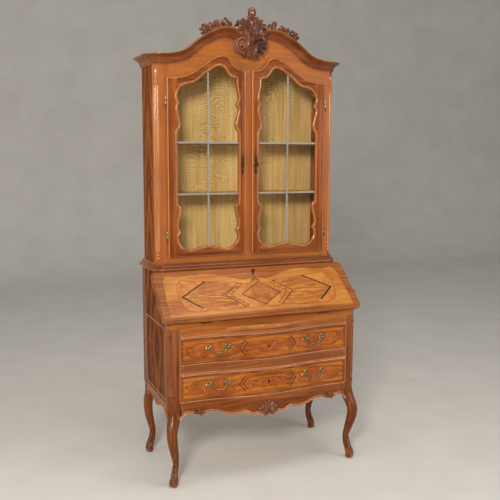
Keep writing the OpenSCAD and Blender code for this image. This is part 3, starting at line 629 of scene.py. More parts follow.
def wood(name, tones, grain="z", figure=9.0, rings=0.25, rough=0.34, coat=0.06, carved=0.0,
         tone=0.16, turn=(0, 0, 0), wear=0.25):
    """Polished wood: long streaks, growth rings, pores, patchy tone, lighter ridges (worn edges and painted highlight)
    and darker hollows (patina and painted shade).
    """
    g = Graph(name)
    dark, mid, light = tones
    base = g.scaled(g.coords, (1, 1, 1), turn)
    along = g.scaled(base, GRAIN[grain])
    warp = g.noise(g.scaled(base, GRAIN[grain]), figure * 0.9, 3, 0.5)
    streak = g.noise(along, figure * 5, 7, 0.62, 0.35)
    fibre = g.noise(g.scaled(base, tuple(v * (0.35 if v < 1 else 1) for v in GRAIN[grain])),
                    figure * 42, 3, 0.6)
    x, y, z = g.axes(along)
    across = {"x": (y, z), "y": (x, z), "z": (x, y)}[grain]
    line = g.math("ADD", across[0], g.math("MULTIPLY", across[1], 0.8))
    wave = g.math("SINE", g.math("MULTIPLY",
                  g.math("ADD", line, g.math("MULTIPLY", warp, 0.09)), figure * 34))
    ring = g.math("POWER", g.math("ADD", g.math("MULTIPLY", wave, 0.5), 0.5), 1.6)
    value = g.math("ADD", g.math("MULTIPLY", streak, 1 - rings * 0.5),
                   g.math("MULTIPLY", ring, rings * 0.5))
    value = g.math("ADD", value, g.math("MULTIPLY", g.math("SUBTRACT", fibre, 0.5), 0.22))
    colour = g.ramp(value, [(0.2, dark), (0.42, tuple((a + b) / 2 for a, b in zip(dark, mid))),
                            (0.56, mid), (0.82, light)])
    patch = g.noise(base, 3.1, 2, 0.5)
    colour = g.mix(g.spread(patch, 0.32, 0.68, 0.0, tone), colour, dark, "MULTIPLY")
    colour = g.mix(g.spread(g.noise(base, 5.3, 2), 0.4, 0.75, 0, tone * 1.3), colour, light, "MIX")
    pore = g.noise(g.scaled(base, tuple(v * (0.5 if v < 1 else 1) for v in GRAIN[grain])),
                   430, 2, 0.5)
    pore = g.spread(pore, 0.34, 0.42, 0.5, 0.0)
    colour = g.mix(pore, colour, tuple(v * 0.35 for v in dark))
    # Ridges are lightened (wear and painted highlight) and hollows are darkened (patina and painted shade).
    if carved or wear:
        edge = g.node("ShaderNodeNewGeometry").outputs["Pointiness"]
        colour = g.mix(g.spread(edge, 0.515, 0.60, 0.0, max(wear, carved)), colour,
                       tuple(min(1, v * 1.5 + 0.05) for v in light))
        colour = g.mix(g.spread(edge, 0.40, 0.495, 0.35 + carved, 0.0), colour,
                       tuple(v * 0.25 for v in dark))
    gloss = g.spread(g.noise(base, 14, 3), 0.3, 0.7, rough - 0.06, rough + 0.08)
    height = g.math("SUBTRACT", g.math("MULTIPLY", fibre, 0.35), g.math("MULTIPLY", pore, 0.9))
    return g.finish(colour, gloss, height, 0.22, 0.0004, coat=coat)


def veined(name, tones, centre, spans, bands, mirror_up=True):
    """Book-matched veneer: nested dark figure mirrored about a centre line and a mid height."""
    g = Graph(name)
    dark, mid, light = tones
    x, y, z = g.axes()
    u = g.math("ABSOLUTE", g.math("SUBTRACT", y, centre[0]))
    v = g.math("SUBTRACT", z, centre[1])
    if mirror_up:
        v = g.math("ABSOLUTE", v)
    mirrored = g.vector(u, 0.0, v)
    wob = g.noise(g.scaled(mirrored, (9, 1, 4)), 1.5, 4, 0.6, 0.9)
    d = g.math("ADD", g.math("DIVIDE", u, spans[0]), g.math("DIVIDE", v, spans[1]))
    d = g.math("ADD", d, g.math("MULTIPLY", g.math("SUBTRACT", wob, 0.5), 2.2))
    wave = g.math("ADD", g.math("MULTIPLY", g.math("SINE", g.math("MULTIPLY", d, bands)), 0.5), 0.5)
    wave = g.math("POWER", wave, 1.4)
    fine = g.noise(g.scaled(mirrored, (1, 1, 0.06)), 120, 6, 0.6)
    value = g.math("ADD", g.math("MULTIPLY", wave, 0.6), g.math("MULTIPLY", fine, 0.64))
    colour = g.ramp(value, [(0.22, light), (0.5, mid), (0.78, tuple(
        (a + b) / 2 for a, b in zip(mid, dark))), (1.0, dark)])
    patch = g.noise(g.coords, 4, 2)
    colour = g.mix(g.spread(patch, 0.35, 0.7, 0, 0.25), colour, mid)
    pore = g.spread(g.noise(g.scaled(g.coords, (1, 1, 0.04)), 430, 2), 0.34, 0.42, 0.4, 0.0)
    colour = g.mix(pore, colour, tuple(v * 0.4 for v in dark))
    height = g.math("MULTIPLY", g.math("ADD", fine, pore), -1.0)
    return g.finish(colour, g.spread(fine, 0.3, 0.7, 0.41, 0.53), height, 0.15,
                    0.0003, specular=0.06)


def burl(name, tones, scale=26.0, line=0.6):
    """Burr veneer: swirling clouds with little eyes and dark contour veins."""
    g = Graph(name)
    dark, mid, light = tones
    a = g.noise(g.coords, scale * 0.6, 3, 0.55, 1.2)
    b = g.noise(g.coords, scale * 2.2, 6, 0.65, 1.8)
    cell = g.node("ShaderNodeTexVoronoi", feature="F1")
    g.links.new(g.coords, cell.inputs["Vector"])
    cell.inputs["Scale"].default_value = scale * 4.5
    cell.inputs["Randomness"].default_value = 1.0
    eyes = g.spread(cell.outputs["Distance"], 0.06, 0.24, 0.45, 0.0)
    value = g.math("ADD", g.math("MULTIPLY", a, 0.45), g.math("MULTIPLY", b, 0.55))
    colour = g.ramp(value, [(0.28, dark), (0.45, mid), (0.62, light), (0.8, mid)])
    ridge = g.math("ABSOLUTE", g.math("SUBTRACT", g.math("FRACT", g.math("MULTIPLY", a, 5)), 0.5))
    colour = g.mix(g.spread(ridge, 0.0, 0.09, line, 0.0), colour, dark)
    colour = g.mix(eyes, colour, tuple(v * 0.5 for v in dark))
    return g.finish(colour, g.spread(b, 0.3, 0.7, 0.30, 0.42), b, 0.12, 0.0003, coat=0.1)


def quilted(name, tones):
    """Pale figured maple: boards with grain lines and a rippling sheen."""
    g = Graph(name)
    dark, mid, light = tones
    x, y, z = g.axes()
    grain = g.noise(g.scaled(g.coords, (1, 1, 0.05)), 60, 6, 0.6)
    warp = g.noise(g.coords, 9, 3, 0.5, 0.5)
    ripple = g.math("SINE", g.math("MULTIPLY", g.math("ADD", z, g.math("MULTIPLY", warp, 0.16)),
                                   420))
    ripple = g.math("ADD", g.math("MULTIPLY", ripple, 0.5), 0.5)
    where = g.spread(g.noise(g.scaled(g.coords, (1, 1, 0.4)), 4, 2), 0.38, 0.56, 0.1, 1.0)
    where = g.math("MULTIPLY", where, g.spread(z, 1.2, 1.75, 0.35, 1.0))
    colour = g.ramp(grain, [(0.25, dark), (0.5, mid), (0.78, light)])
    colour = g.mix(g.math("MULTIPLY", ripple, where), colour, tuple(v * 0.5 for v in mid))
    seam = g.math("ABSOLUTE", g.math("SUBTRACT", g.math("FRACT", g.math("MULTIPLY", x, 5.3)), 0.5))
    colour = g.mix(g.spread(seam, 0.0, 0.02, 0.35, 0.0), colour, tuple(v * 0.5 for v in dark))
    blot = g.spread(g.noise(g.coords, 38, 2), 0.72, 0.8, 0.0, 0.35)
    colour = g.mix(blot, colour, dark)
    return g.finish(colour, g.spread(grain, 0.3, 0.7, 0.42, 0.55), grain, 0.12, 0.0003, coat=0.1)


def metal(name, tones, rough, shine=1.0):
    """Old cast metal: bright on the ridges, brown in the hollows."""
    g = Graph(name)
    dark, colour = tones
    grit = g.noise(g.coords, 260, 5, 0.6)
    film = g.noise(g.coords, 55, 4, 0.6, 0.4)
    tint = g.mix(g.spread(film, 0.35, 0.7, 0.0, 0.55), colour, dark)
    edge = g.node("ShaderNodeNewGeometry").outputs["Pointiness"]
    tint = g.mix(g.spread(edge, 0.40, 0.5, 0.75, 0.0), tint, tuple(v * 0.4 for v in dark))
    tint = g.mix(g.spread(edge, 0.52, 0.62, 0.0, 0.5), tint,
                 tuple(min(1, v * 1.25) for v in colour))
    return g.finish(tint, g.spread(film, 0.3, 0.7, rough - 0.08, rough + 0.16), grit, 0.25,
                    0.0003, metal=shine)


def pane(name):
    """Window glass with a faint ripple, open to straight light so that the shelves show."""
    g = Graph(name)
    wave = g.noise(g.coords, 5, 2)
    g.shader.inputs["Base Color"].default_value = (0.96, 0.97, 0.94, 1)
    g.shader.inputs["Transmission Weight"].default_value = 1.0
    g.shader.inputs["IOR"].default_value = 1.45
    g.put(g.shader.inputs["Roughness"], g.spread(wave, 0.3, 0.7, 0.0, 0.02))
    bump = g.node("ShaderNodeBump")
    bump.inputs["Strength"].default_value = 0.02
    bump.inputs["Distance"].default_value = 0.001
    g.links.new(wave, bump.inputs["Height"])
    g.links.new(bump.outputs[0], g.shader.inputs["Normal"])
    clear = g.node("ShaderNodeBsdfTransparent")
    clear.inputs[0].default_value = (0.98, 0.98, 0.965, 1)
    both = g.node("ShaderNodeMixShader")
    both.inputs[0].default_value = 0.07
    g.links.new(clear.outputs[0], both.inputs[1])
    g.links.new(g.shader.outputs[0], both.inputs[2])
    g.links.new(both.outputs[0], g.nodes["Material Output"].inputs["Surface"])
    return g.material


def tones(*colours):
    return [srgb(*c) for c in colours]


WALNUT = tones((84, 36, 6), (138, 68, 14), (172, 98, 32))
ROSY = tones((112, 56, 28), (160, 94, 56), (204, 146, 104))
DEEP = tones((74, 33, 10), (122, 62, 22), (164, 98, 50))
GOLD = tones((146, 78, 22), (188, 118, 48), (212, 152, 78))

walnut_up = wood("walnut upright", WALNUT, figure=7)
walnut_across = wood("walnut across", tones((76, 33, 7), (122, 59, 14), (160, 92, 32)), "x", 8)
walnut_bright = wood("bright walnut", tones((92, 44, 8), (142, 73, 14), (172, 102, 32)), "x", 8)
walnut_deep = wood("walnut side grain", WALNUT, "y")
walnut_leg = wood("walnut of the legs", tones((70, 30, 8), (120, 59, 16), (160, 92, 36)),
                  figure=10, rough=0.30, coat=0.16, wear=0.35)
walnut_trim = wood("walnut trim", tones((104, 50, 14), (154, 86, 34), (190, 124, 66)),
                   figure=7, rough=0.24, coat=0.5, wear=0.35)
walnut_pale = wood("pale polished walnut", tones((128, 68, 28), (176, 106, 54), (210, 150, 98)),
                   figure=8, rough=0.2, coat=0.6, wear=0.3)
red_across = wood("red walnut across", tones((104, 50, 18), (152, 86, 36), (182, 116, 62)), "x", 8)
rosy_bead = wood("rosy bead", ROSY, "x", rings=0.1, rough=0.26, coat=0.5, wear=0.45)
# Lighter walnut for the frieze swelling: its pale colour is partly painted highlight, and its gloss is real.
swell_wood = wood("polished frieze", tones((116, 60, 20), (166, 98, 42), (200, 138, 76)), "x", 6,
                  rings=0.1, rough=0.2, coat=0.6, wear=0.2)
moulding = wood("moulding walnut", DEEP, "x", 5, rings=0.08, rough=0.30, coat=0.22, wear=0.5)
carving = wood("carved walnut", tones((46, 18, 8), (92, 44, 20), (142, 86, 54)),
               figure=14, rough=0.28, coat=0.5, carved=0.6, wear=0.5)
# A darker copy of the carved walnut for the crest's right side: painted shade.
carving_painted_shade = wood("shaded carving", tones((28, 12, 6), (60, 28, 14), (98, 56, 34)),
                    figure=14, coat=0.3, carved=0.5)
gold_across = wood("golden veneer", GOLD, "x", 4, rings=0.2, wear=0, tone=0.35)
gold_bias = wood("golden cross veneer", GOLD, "x", 8, rings=0.8, turn=(0, 0.5, 0.6), wear=0)
drawer_field = wood("drawer veneer", tones((124, 58, 14), (170, 92, 26), (196, 120, 44)), "x", 7,
                    rings=0.5, wear=0, tone=0.3)
band = wood("banding veneer", tones((104, 50, 18), (146, 80, 32), (176, 108, 54)), "x", 10,
            rings=0.5, wear=0)
# Dark inlay; it also fills the drawer keyholes, where it is painted shade.
ink_and_keyhole_shade = wood("dark inlay", tones((44, 20, 8), (84, 44, 18), (124, 72, 34)), "x", wear=0)
ink_black = wood("ebony inlay", tones((16, 9, 6), (34, 18, 10), (62, 34, 18)), "x", wear=0)
heart_wood = wood("heart veneer", tones((128, 66, 20), (172, 104, 42), (200, 138, 70)), "x", 6,
                  turn=(0, 0.35, 0.2), wear=0)
ink_soft = wood("brown inlay", tones((70, 30, 10), (104, 50, 18), (132, 70, 28)), "x", wear=0)
burr = burl("burr veneer", tones((98, 42, 12), (144, 70, 22), (172, 96, 36)))
burr_mid = burl("diamond burr", tones((112, 56, 18), (160, 92, 38), (188, 122, 58)), line=0.4)
burr_pale = burl("pale burr veneer", tones((130, 66, 22), (174, 104, 42), (198, 132, 64)), scale=18)
maple = quilted("figured maple", tones((186, 150, 88), (222, 186, 120), (242, 212, 150)))
shelf_wood = wood("shelf maple", tones((140, 108, 58), (190, 152, 88), (214, 180, 118)), "x",
                  rough=0.45, coat=0.1, wear=0.1)
shelf_edge = wood("shelf edge", tones((58, 44, 28), (92, 74, 48), (124, 102, 70)), "x",
                  rough=0.4, wear=0.2)
back_wood = wood("back board", tones((120, 82, 44), (162, 118, 70), (188, 146, 96)), figure=6,
                 rings=0.3, rough=0.55, coat=0.0, wear=0.1)
gallery_wood = wood("gallery maple", tones((138, 96, 52), (184, 140, 84), (212, 174, 120)), "x", 7,
                    rough=0.45, coat=0.1, wear=0.15)
inner_wood = wood("interior ash", tones((150, 110, 66), (190, 150, 98), (214, 180, 130)), "y",
                  rough=0.5, coat=0.05, wear=0.1)
brass = metal("old brass", tones((62, 46, 28), (158, 138, 100)), 0.36)
dark_brass = metal("dull brass", tones((36, 24, 14), (92, 66, 38)), 0.42)
lead = metal("lead came", tones((84, 80, 74), (150, 146, 138)), 0.45, shine=0.5)
glass = pane("window glass")
cab_side = veined("book matched cabinet side", tones((96, 44, 10), (138, 72, 18), (166, 96, 34)),
                  (WALL - 0.106, 1.42), (0.058, 0.30), 4.6, mirror_up=False)
case_side = veined("book matched case side", tones((70, 30, 8), (120, 60, 15), (150, 84, 28)),
                   (WALL - 0.262, 0.615), (0.078, 0.25), 5.6)


# ---- surfaces that pieces are laid on -------------------------------------------------------

def on_bow(x, z, h):
    return (x, bow_at(x) + h, z)


def on_fall(x, y, h):
    """A point of the closed fall front: across, up its slope, out of its face."""
    h += FALL_T
    return (x, PIVOT_D - y * math.cos(SLOPE) + h * math.sin(SLOPE),
            Z_DESK + y * math.sin(SLOPE) + h * math.cos(SLOPE))


def on_plane(depth):
    return lambda x, z, h: (x, depth + h, z)


def strip(path, profile, place, closed=False):
    """A moulding along a 2D path. profile rows are (distance to the left of the path, height)."""
    pts = clean_open(path)
    n = len(pts)
    rings = []
    for i in range(n):
        if closed:
            a, c = Vector(pts[i - 1]), Vector(pts[(i + 1) % n])
        else:
            a, c = Vector(pts[max(i - 1, 0)]), Vector(pts[min(i + 1, n - 1)])
        t = (c - a).normalized()
        left = Vector((-t.y, t.x))
        rings.append([place(pts[i][0] + left.x * u, pts[i][1] + left.y * u, h) for u, h in profile])
    if closed:
        rings.append(rings[0])
    return loft(rings, caps=not closed)


def clean_open(path):
    out = [path[0]]
    for p in path[1:]:
        if math.dist(p, out[-1]) > 0.3:
            out.append(p)
    return out


def level_line(z):
    """A line at one height between the posts, in steps of about 10 mm."""
    n = round(2 * POST_IN / 10)
    return [(-POST_IN + 2 * POST_IN * i / n, z) for i in range(n + 1)]


def half_round(w, h, base=-1.0):
    """Profile of one bead of width w and height h, standing on its own foot."""
    n = 7
    return ([(-w / 2, base)] + [(-w / 2 * math.cos(math.pi * i / n), h * math.sin(math.pi * i / n))
            for i in range(n + 1)] + [(w / 2, base)])


def double_bead(w, h):
    """Two reeds side by side, the lower one fuller."""
    n = 6
    rows = [(-w / 2, -1)]
    for mid, wide, high in ((-w * 0.2, w * 0.6, h), (w * 0.3, w * 0.4, h * 0.62)):
        rows += [(mid - wide / 2 * math.cos(math.pi * i / n), high * math.sin(math.pi * i / n))
                 for i in range(n + 1)]
    return rows + [(w / 2, -1)]


def turned(shape, cx, cd, degrees):
    """Turns points about an upright line through (cx, cd)."""
    c, s = math.cos(math.radians(degrees)), math.sin(math.radians(degrees))
    verts, faces = shape
    return [(cx + (v[0] - cx) * c - (v[1] - cd) * s, cd + (v[0] - cx) * s + (v[1] - cd) * c, v[2])
            for v in verts], faces


def sides(name, shape, material, bodies, swap=(), **options):
    """The same piece on the right and, mirrored, on the left."""
    verts, faces = shape
    for hand, body, word in ((1, bodies[-1], "right"), (-1, bodies[0], "left")):
        nodes = [n + "_" + word for n in swap]
        mirrored = [(v[0] * hand,) + tuple(v[1:]) for v in verts], faces
        piece(name + "_" + word, mirrored, material, body, nodes, **options)


# ---- legs and posts -------------------------------------------------------------------------

def radius_to(outline, centre, angle):
    """Distance from a centre to a convex outline in one direction."""
    ray = Vector((math.cos(angle), math.sin(angle)))
    best = 0
    for a, b in zip(outline, outline[1:] + outline[:1]):
        a, b = Vector(a) - Vector(centre), Vector(b) - Vector(centre)
        e = b - a
        den = ray.x * e.y - ray.y * e.x
        if abs(den) < 1e-9:
            continue
        t = (a.x * e.y - a.y * e.x) / den
        u = (a.x * ray.y - a.y * ray.x) / den
        if t > 0 and -1e-6 <= u <= 1 + 1e-6:
            best = max(best, t)
    return best


def leg_body(rows, foot, outline, centre, top):
    """A cabriole leg that grows out of its square post."""
    angles = []
    for a, b in zip(outline, outline[1:] + outline[:1]):
        for k in range(7):
            t = k / 7
            x, d = a[0] + (b[0] - a[0]) * t - centre[0], a[1] + (b[1] - a[1]) * t - centre[1]
            angles.append(math.atan2(d, x))
    rings = []
    for h, dx, dd, r, power in smooth(rows, 5):
        blend = max(0.0, min(1.0, (h - 0.84) / 0.16)) ** 1.5
        ring = []
        for a in angles:
            q = r * (abs(math.cos(a)) ** power + abs(math.sin(a)) ** power) ** (-1 / power)
            px, pd = foot[0] + dx + q * math.cos(a), foot[1] + dd + q * math.sin(a)
            w = radius_to(outline, centre, a)
            sx, sd = centre[0] + w * math.cos(a), centre[1] + w * math.sin(a)
            ring.append((px + (sx - px) * blend, pd + (sd - pd) * blend, h * LEG_H))
        rings.append(ring)
    for z in (LEG_H + 30, (LEG_H + top) / 2, top):
        rings.append([(centre[0] + radius_to(outline, centre, a) * math.cos(a),
                       centre[1] + radius_to(outline, centre, a) * math.sin(a), z) for a in angles])
    return loft(rings)


FRONT_ROWS = [(0, 0, 0, 11, 2), (0.02, 2, 2, 17, 2), (0.055, 5, 5, 20.5, 2), (0.083, 3, 3, 20, 2),
              (0.117, -3, -4, 14, 2), (0.156, -8, -9, 11.5, 2), (0.195, -12, -12, 11, 2),
              (0.24, -12, -12, 13, 2), (0.314, -10, -10, 16, 2), (0.434, -1, -1, 20.7, 2),
              (0.535, 7, 7, 23.3, 2.2), (0.647, 12, 12, 24, 2.5), (0.74, 7, 4, 26.5, 2.6),
              (0.831, -3, -10, 28.5, 2.6), (0.91, -6, -19, 29, 2.6), (1, -6, -22, 29, 2.6)]
REAR_ROWS = [(0, 0, 0, 11, 2), (0.02, 2, 0, 16, 2), (0.055, 6, 0, 19, 2), (0.083, 4, 0, 19, 2),
             (0.117, -4, 0, 14, 2), (0.156, -11, 0, 12, 2), (0.195, -15, 0, 12, 2),
             (0.24, -15, 0, 13, 2), (0.314, -12, 0, 16, 2), (0.434, -2, 0, 19, 2),
             (0.535, 6, 1, 21, 2.2), (0.647, 9, 2, 22, 2.4), (0.74, 7, 2, 23, 2.6),
             (0.831, 0, 3, 24, 2.6), (0.91, -3, 3, 24.5, 2.6), (1, -3, 3, 24.5, 2.6)]
EDGE = POST_IN + POST
POST_BACK = FLAT - POST
FRONT_FOOT, REAR_FOOT = (EDGE - 24, 461), (EDGE - 22, 22)


def scroll_toe(foot, way, reach):
    """A carved leaf down the ankle that rolls up over the toe."""
    shape = Shape()
    wx, wd = way
    path = [(foot[0] - 6 * wx + q * wx, foot[1] - 6 * wd + q * wd, z) for q, z in
            ((4, 112), (6, 92), (11, 70), (19, 52), (25 + reach, 38), (26 + reach, 24))]
    shape.add(leaf(path, 13, 4, lobes=3, face=(wx, wd, 0.25), thick=9, curl=3, cut=0.22))
    tx, td = -wd, wx
    at_x, at_d = foot[0] + (12 + reach) * wx, foot[1] + (12 + reach) * wd
    roll = []
    for side, r in ((-17, 5), (-16, 9), (-9, 10.5), (0, 11), (9, 10.5), (16, 9), (17, 5)):
        roll.append([(at_x + tx * side + wx * r * math.cos(2 * math.pi * k / 18),
                      at_d + td * side + wd * r * math.cos(2 * math.pi * k / 18),
                      13 + r * math.sin(2 * math.pi * k / 18)) for k in range(18)])
    shape.add(loft(roll))
    for side in (-17, 17):
        coil = []
        for i in range(26):
            a = 0.9 + 0.33 * i
            r = 9.4 * (1 - i / 30)
            coil.append((at_x + tx * side + wx * r * math.cos(a),
                         at_d + td * side + wd * r * math.cos(a), 13 + r * math.sin(a)))
        shape.add(tube(coil, lambda t: 2.0 * (1 - 0.5 * t), 8, up=(tx, td, 0)))
    return shape


half = math.sqrt(0.5)
front_outline = [(POST_IN, POST_BACK), (EDGE, POST_BACK), (EDGE, FLAT - 26), (EDGE - 26, FLAT),
                 (POST_IN, FLAT)]
rear_outline = [(EDGE - REAR_POST, 0), (EDGE, 0), (EDGE, REAR_POST), (EDGE - REAR_POST, REAR_POST)]
sides("front_leg", leg_body(FRONT_ROWS, FRONT_FOOT, front_outline, (EDGE - 30, FLAT - 30),
      Z_BOARD - 0.2), walnut_leg, ["case"], swap=["front_leg"], angle=50)
sides("rear_leg", leg_body(REAR_ROWS, REAR_FOOT, rear_outline, (EDGE - 25, 25), Z_WAIST),
      walnut_leg, ["case"], swap=["rear_leg"], angle=50)
sides("front_toe", scroll_toe(FRONT_FOOT, (half, half), 2), carving, ["case"], angle=60)
sides("rear_toe", scroll_toe(REAR_FOOT, (1, 0), 0), carving, ["case"], angle=60)

# Reeded column and carved rosettes on the canted corner of each front post.
post_trim = Shape()
mid_x, mid_d = EDGE - 13, 455
for k in (-1, 0, 1):
    x, d = mid_x - k * 8.5 * half, mid_d + k * 8.5 * half
    path = [(x, d, Z_LOWER + 28), (x, d, Z_LOWER + 34), (x, d, Z_UPPER), (x, d, Z_FRIEZE - 16),
            (x, d, Z_FRIEZE - 8)]
    post_trim.add(tube(path, lambda t: 4.3 if 0.1 < t < 0.9 else 3.0, 12, up=(half, half, 0)))
for z in (Z_LOWER + 4, Z_FRIEZE + 12):
    post_trim.add(turned(petals((mid_x, mid_d + 1, z), 4, 12.5, 5.5, width=0.6, turn=0.785),
                         mid_x, mid_d, -45))
sides("post_carving", post_trim, walnut_leg, ["case"], angle=50)
# A moulded edge frames the drawers on the inner side of each post.
sides("post_bead", strip([(POST_IN + 5, Z_LOWER - 4), (POST_IN + 5, Z_FRIEZE + 14)],
                         half_round(9, 3.5), on_plane(FLAT)), walnut_leg, ["case"])

# ---- apron, rails and frieze ----------------------------------------------------------------

APRON_HALF = (smooth([(0, -88), (0.052, -86), (0.095, -80), (0.124, -76), (0.178, -79),
                      (0.235, -72), (0.276, -61)], 5)
              + smooth([(0.276, -61), (0.323, -67), (0.392, -70), (0.48, -65), (0.589, -50),
                        (0.684, -45), (0.741, -51)], 5)
              + smooth([(0.741, -51), (0.796, -58), (0.85, -50), (0.912, -43), (0.955, -44),
                        (1, -60)], 5))
apron_edge = [(x * POST_IN, z + LEG_H) for x, z in APRON_HALF]
apron_line = [(-x, z) for x, z in reversed(apron_edge)] + apron_edge[1:]


def box_loop(half_width, low, high):
    return [(-half_width, low), (half_width, low), (half_width, high), (-half_width, high)]


def slab_on(loop, under, top=0.0):
    """A board whose face follows the bow, `under` millimetres thick."""
    verts, faces = inlay(loop, top, 12, on_bow)
    n = len(verts) // 2
    return verts[:n] + [(x, d + 0.6 - under, z) for x, d, z in verts[n:]], faces


apron = slab_on(apron_line + [(POST_IN, Z_LOWER), (-POST_IN, Z_LOWER)], BOW_T)
piece("front_apron_board", apron, walnut_across, "case", ["front_apron"],
      angle=30)
edge = Shape()
ends = [(POST_IN + 9, apron_edge[-1][1] - 12)]
edge.add(strip(moved([(-x, z) for x, z in ends] + apron_line + ends, 0, 6),
               double_bead(13, 7), on_bow))
edge.add(strip(level_line(Z_LOWER - 3.4), half_round(6, 3.4), on_bow))
# Lobes of the moulded edge curl up into small scrolls where two curves meet.
for x, r in ((0.276 * POST_IN, 5.5), (-0.276 * POST_IN, 5.5)):
    hand = 1 if x > 0 else -1
    edge.add(tube([(x - hand * 22, bow_at(x) + 3, LEG_H - 63), (x - hand * 10, bow_at(x) + 6,
             LEG_H - 56), (x + hand * 2, bow_at(x) + 6, LEG_H - 47)],
             lambda t: 4.2 * (1 - 0.75 * t), 10, 0.7))
piece("apron_mouldings", edge, rosy_bead, "case", angle=50)

shell = Shape()
bow_d, shell_z = FLAT + BOW, LEG_H - 60
for k in range(9):
    a = math.radians(90 + (k - 4) * 26)
    r = 40 - 2.4 * abs(k - 4)
    path = [(q * math.cos(a), bow_d + out, shell_z + q * math.sin(a)) for q, out in
            ((7, 2), (0.5 * r, 8), (r, 5), (1.12 * r, -0.5))]
    shell.add(leaf(path, 6.6, 4.6, lobes=1, thick=7, curl=2.5, cut=0.0, cols=7, rows=14,
                   taper=lambda t: 0.35 + 0.65 * math.sin(math.pi * min(1, 0.15 + 0.62 * t))))
shell.add(petals((0, bow_d + 3, shell_z - 2), 6, 10, 7))
for hand in (-1, 1):
    for tip, w in (((26, -84), 7), ((44, -66), 8), ((56, -50), 7)):
        shell.add(leaf([(hand * 8, bow_d + 4, shell_z - 6),
                        (hand * tip[0] * 0.6, bow_d + 9, LEG_H + tip[1] * 0.94),
                        (hand * tip[0], bow_at(tip[0]) + 3, LEG_H + tip[1])],
                       w, 4, lobes=3, thick=6, curl=3, cut=0.25, rows=18))
flower_x = 0.803 * POST_IN
for hand in (-1, 1):
    c = (hand * flower_x, bow_at(flower_x) + 4, LEG_H - 40)
    shell.add(petals(c, 5, 15, 8, turn=0.4))
    for dx, dz, w in ((28, -8, 8), (-30, -4, 8), (14, -22, 6), (-16, 14, 6)):
        shell.add(leaf([(c[0], c[1] - 1, c[2]), (c[0] + dx * 0.6, c[1] + 3, c[2] + dz * 0.4),
                        (c[0] + dx, c[1] - 1, c[2] + dz)], w, 3.5, lobes=3, thick=5, curl=2.5,
                       cut=0.28, rows=16))
piece("apron_carving", shell, carving, "case", angle=55)

piece("drawer_rail_board", slab_on(box_loop(POST_IN, Z_RAIL, Z_UPPER), BOW_T), walnut_across, "case",
      ["drawer_rail"], angle=30)
piece("bow_frieze_board", slab_on(box_loop(POST_IN, Z_FRIEZE, Z_BOARD), BOW_T), walnut_bright, "case",
      ["bow_frieze"], angle=30)
beads = Shape()
beads.add(strip(level_line(Z_RAIL + 6.5), double_bead(13, 5.4), on_bow))
beads.add(strip(level_line(Z_UPPER - 3.4), half_round(6, 3.4), on_bow))
beads.add(strip(level_line(Z_FRIEZE + 6.5), double_bead(13, 5.4), on_bow))
piece("drawer_beads", beads, rosy_bead, "case", angle=50)

# The frieze swells forwards in the middle under the fall front.
swell = []
SWELL_HALF = BOW_HALF / 2
for i in range(49):
    x = SWELL_HALF * (i / 24 - 1) * 1.25
    s = min(1, abs(x) / (SWELL_HALF * 1.25))
    out = 12 * math.cos(math.radians(90 * s)) ** 1.2
    mid, reach = (Z_FRIEZE + Z_BOARD) / 2 + 11, 6 + 5.5 * math.cos(math.radians(90 * s))
    swell.append([(x, bow_at(x) - 2, mid - reach)]
                 + [(x, bow_at(x) + out * math.sin(math.pi * k / 12) ** 0.8,
                     mid - reach * math.cos(math.pi * k / 12)) for k in range(13)]
                 + [(x, bow_at(x) - 2, mid + reach)])
piece("frieze_swelling", loft(swell), swell_wood, "case", angle=50)

side_edge = smooth([(0, -70), (0.04, -44), (0.13, -34), (0.28, -40), (0.433, -56), (0.508, -60),
                    (0.592, -56), (0.74, -40), (0.883, -34), (0.96, -46), (1, -72)], 5)
run = POST_BACK - REAR_POST
low = [(REAR_POST + t * run, LEG_H + z) for t, z in side_edge]
side_x = EDGE - 2.5


def on_side(d, z, h):
    return (side_x + h, d, z)


flank = Shape()
verts, faces = inlay(low + [(POST_BACK, LEG_H + 1), (REAR_POST, LEG_H + 1)], 0, 0, on_side)
flank.add(([(v[0] - (14 if i >= len(verts) // 2 else 0),) + tuple(v[1:])
            for i, v in enumerate(verts)], faces))
sides("side_apron_board", flank, walnut_deep, ["case"], swap=["side_apron"],
      angle=30)
flank = Shape()
flank.add(strip(moved(low, 0, 3), half_round(7, 2.2), on_side))
for z in (LEG_H + 14, Z_DESK - 30):
    flank.add(strip([(REAR_POST + 8, z), (POST_BACK - 8, z)], half_round(5, 2.0), on_side))
for d in (REAR_POST + 6, POST_BACK - 6):
    flank.add(strip([(d, LEG_H + 14), (d, Z_DESK - 30)], half_round(5, 2.0), on_side))
sides("side_mouldings", flank, walnut_trim, ["case"], angle=50)

# ---- drawers --------------------------------------------------------------------------------

GAP = 1.5
DRAWER_H = Z_RAIL - Z_LOWER


def cloud(cx, cz, rx, rz, bumps, depth=0.0, phase=0.0, power=0.75):
    """An oval with a softly lobed outline."""
    out = []
    n = 90
    for i in range(n):
        a = 2 * math.pi * i / n
        w = 1 + depth * math.sin(bumps * a + phase) + depth * 0.5 * math.sin((bumps + 4) * a + 1)
        ca, sa = math.cos(a), math.sin(a)
        out.append((cx + rx * w * math.copysign(abs(ca) ** power, ca),
                    cz + rz * w * math.copysign(abs(sa) ** power, sa)))
    return out


def chevron(tip, arm, thick, cz, hand=1, rise=None):
    """A V on its side: tip x, reach of its arms, width of the line."""
    x, dx = tip, arm
    rise = rise or arm
    return [(x, cz), (x + hand * dx, cz + rise), (x + hand * (dx + thick), cz + rise),
            (x + hand * thick, cz), (x + hand * (dx + thick), cz - rise),
            (x + hand * dx, cz - rise)]


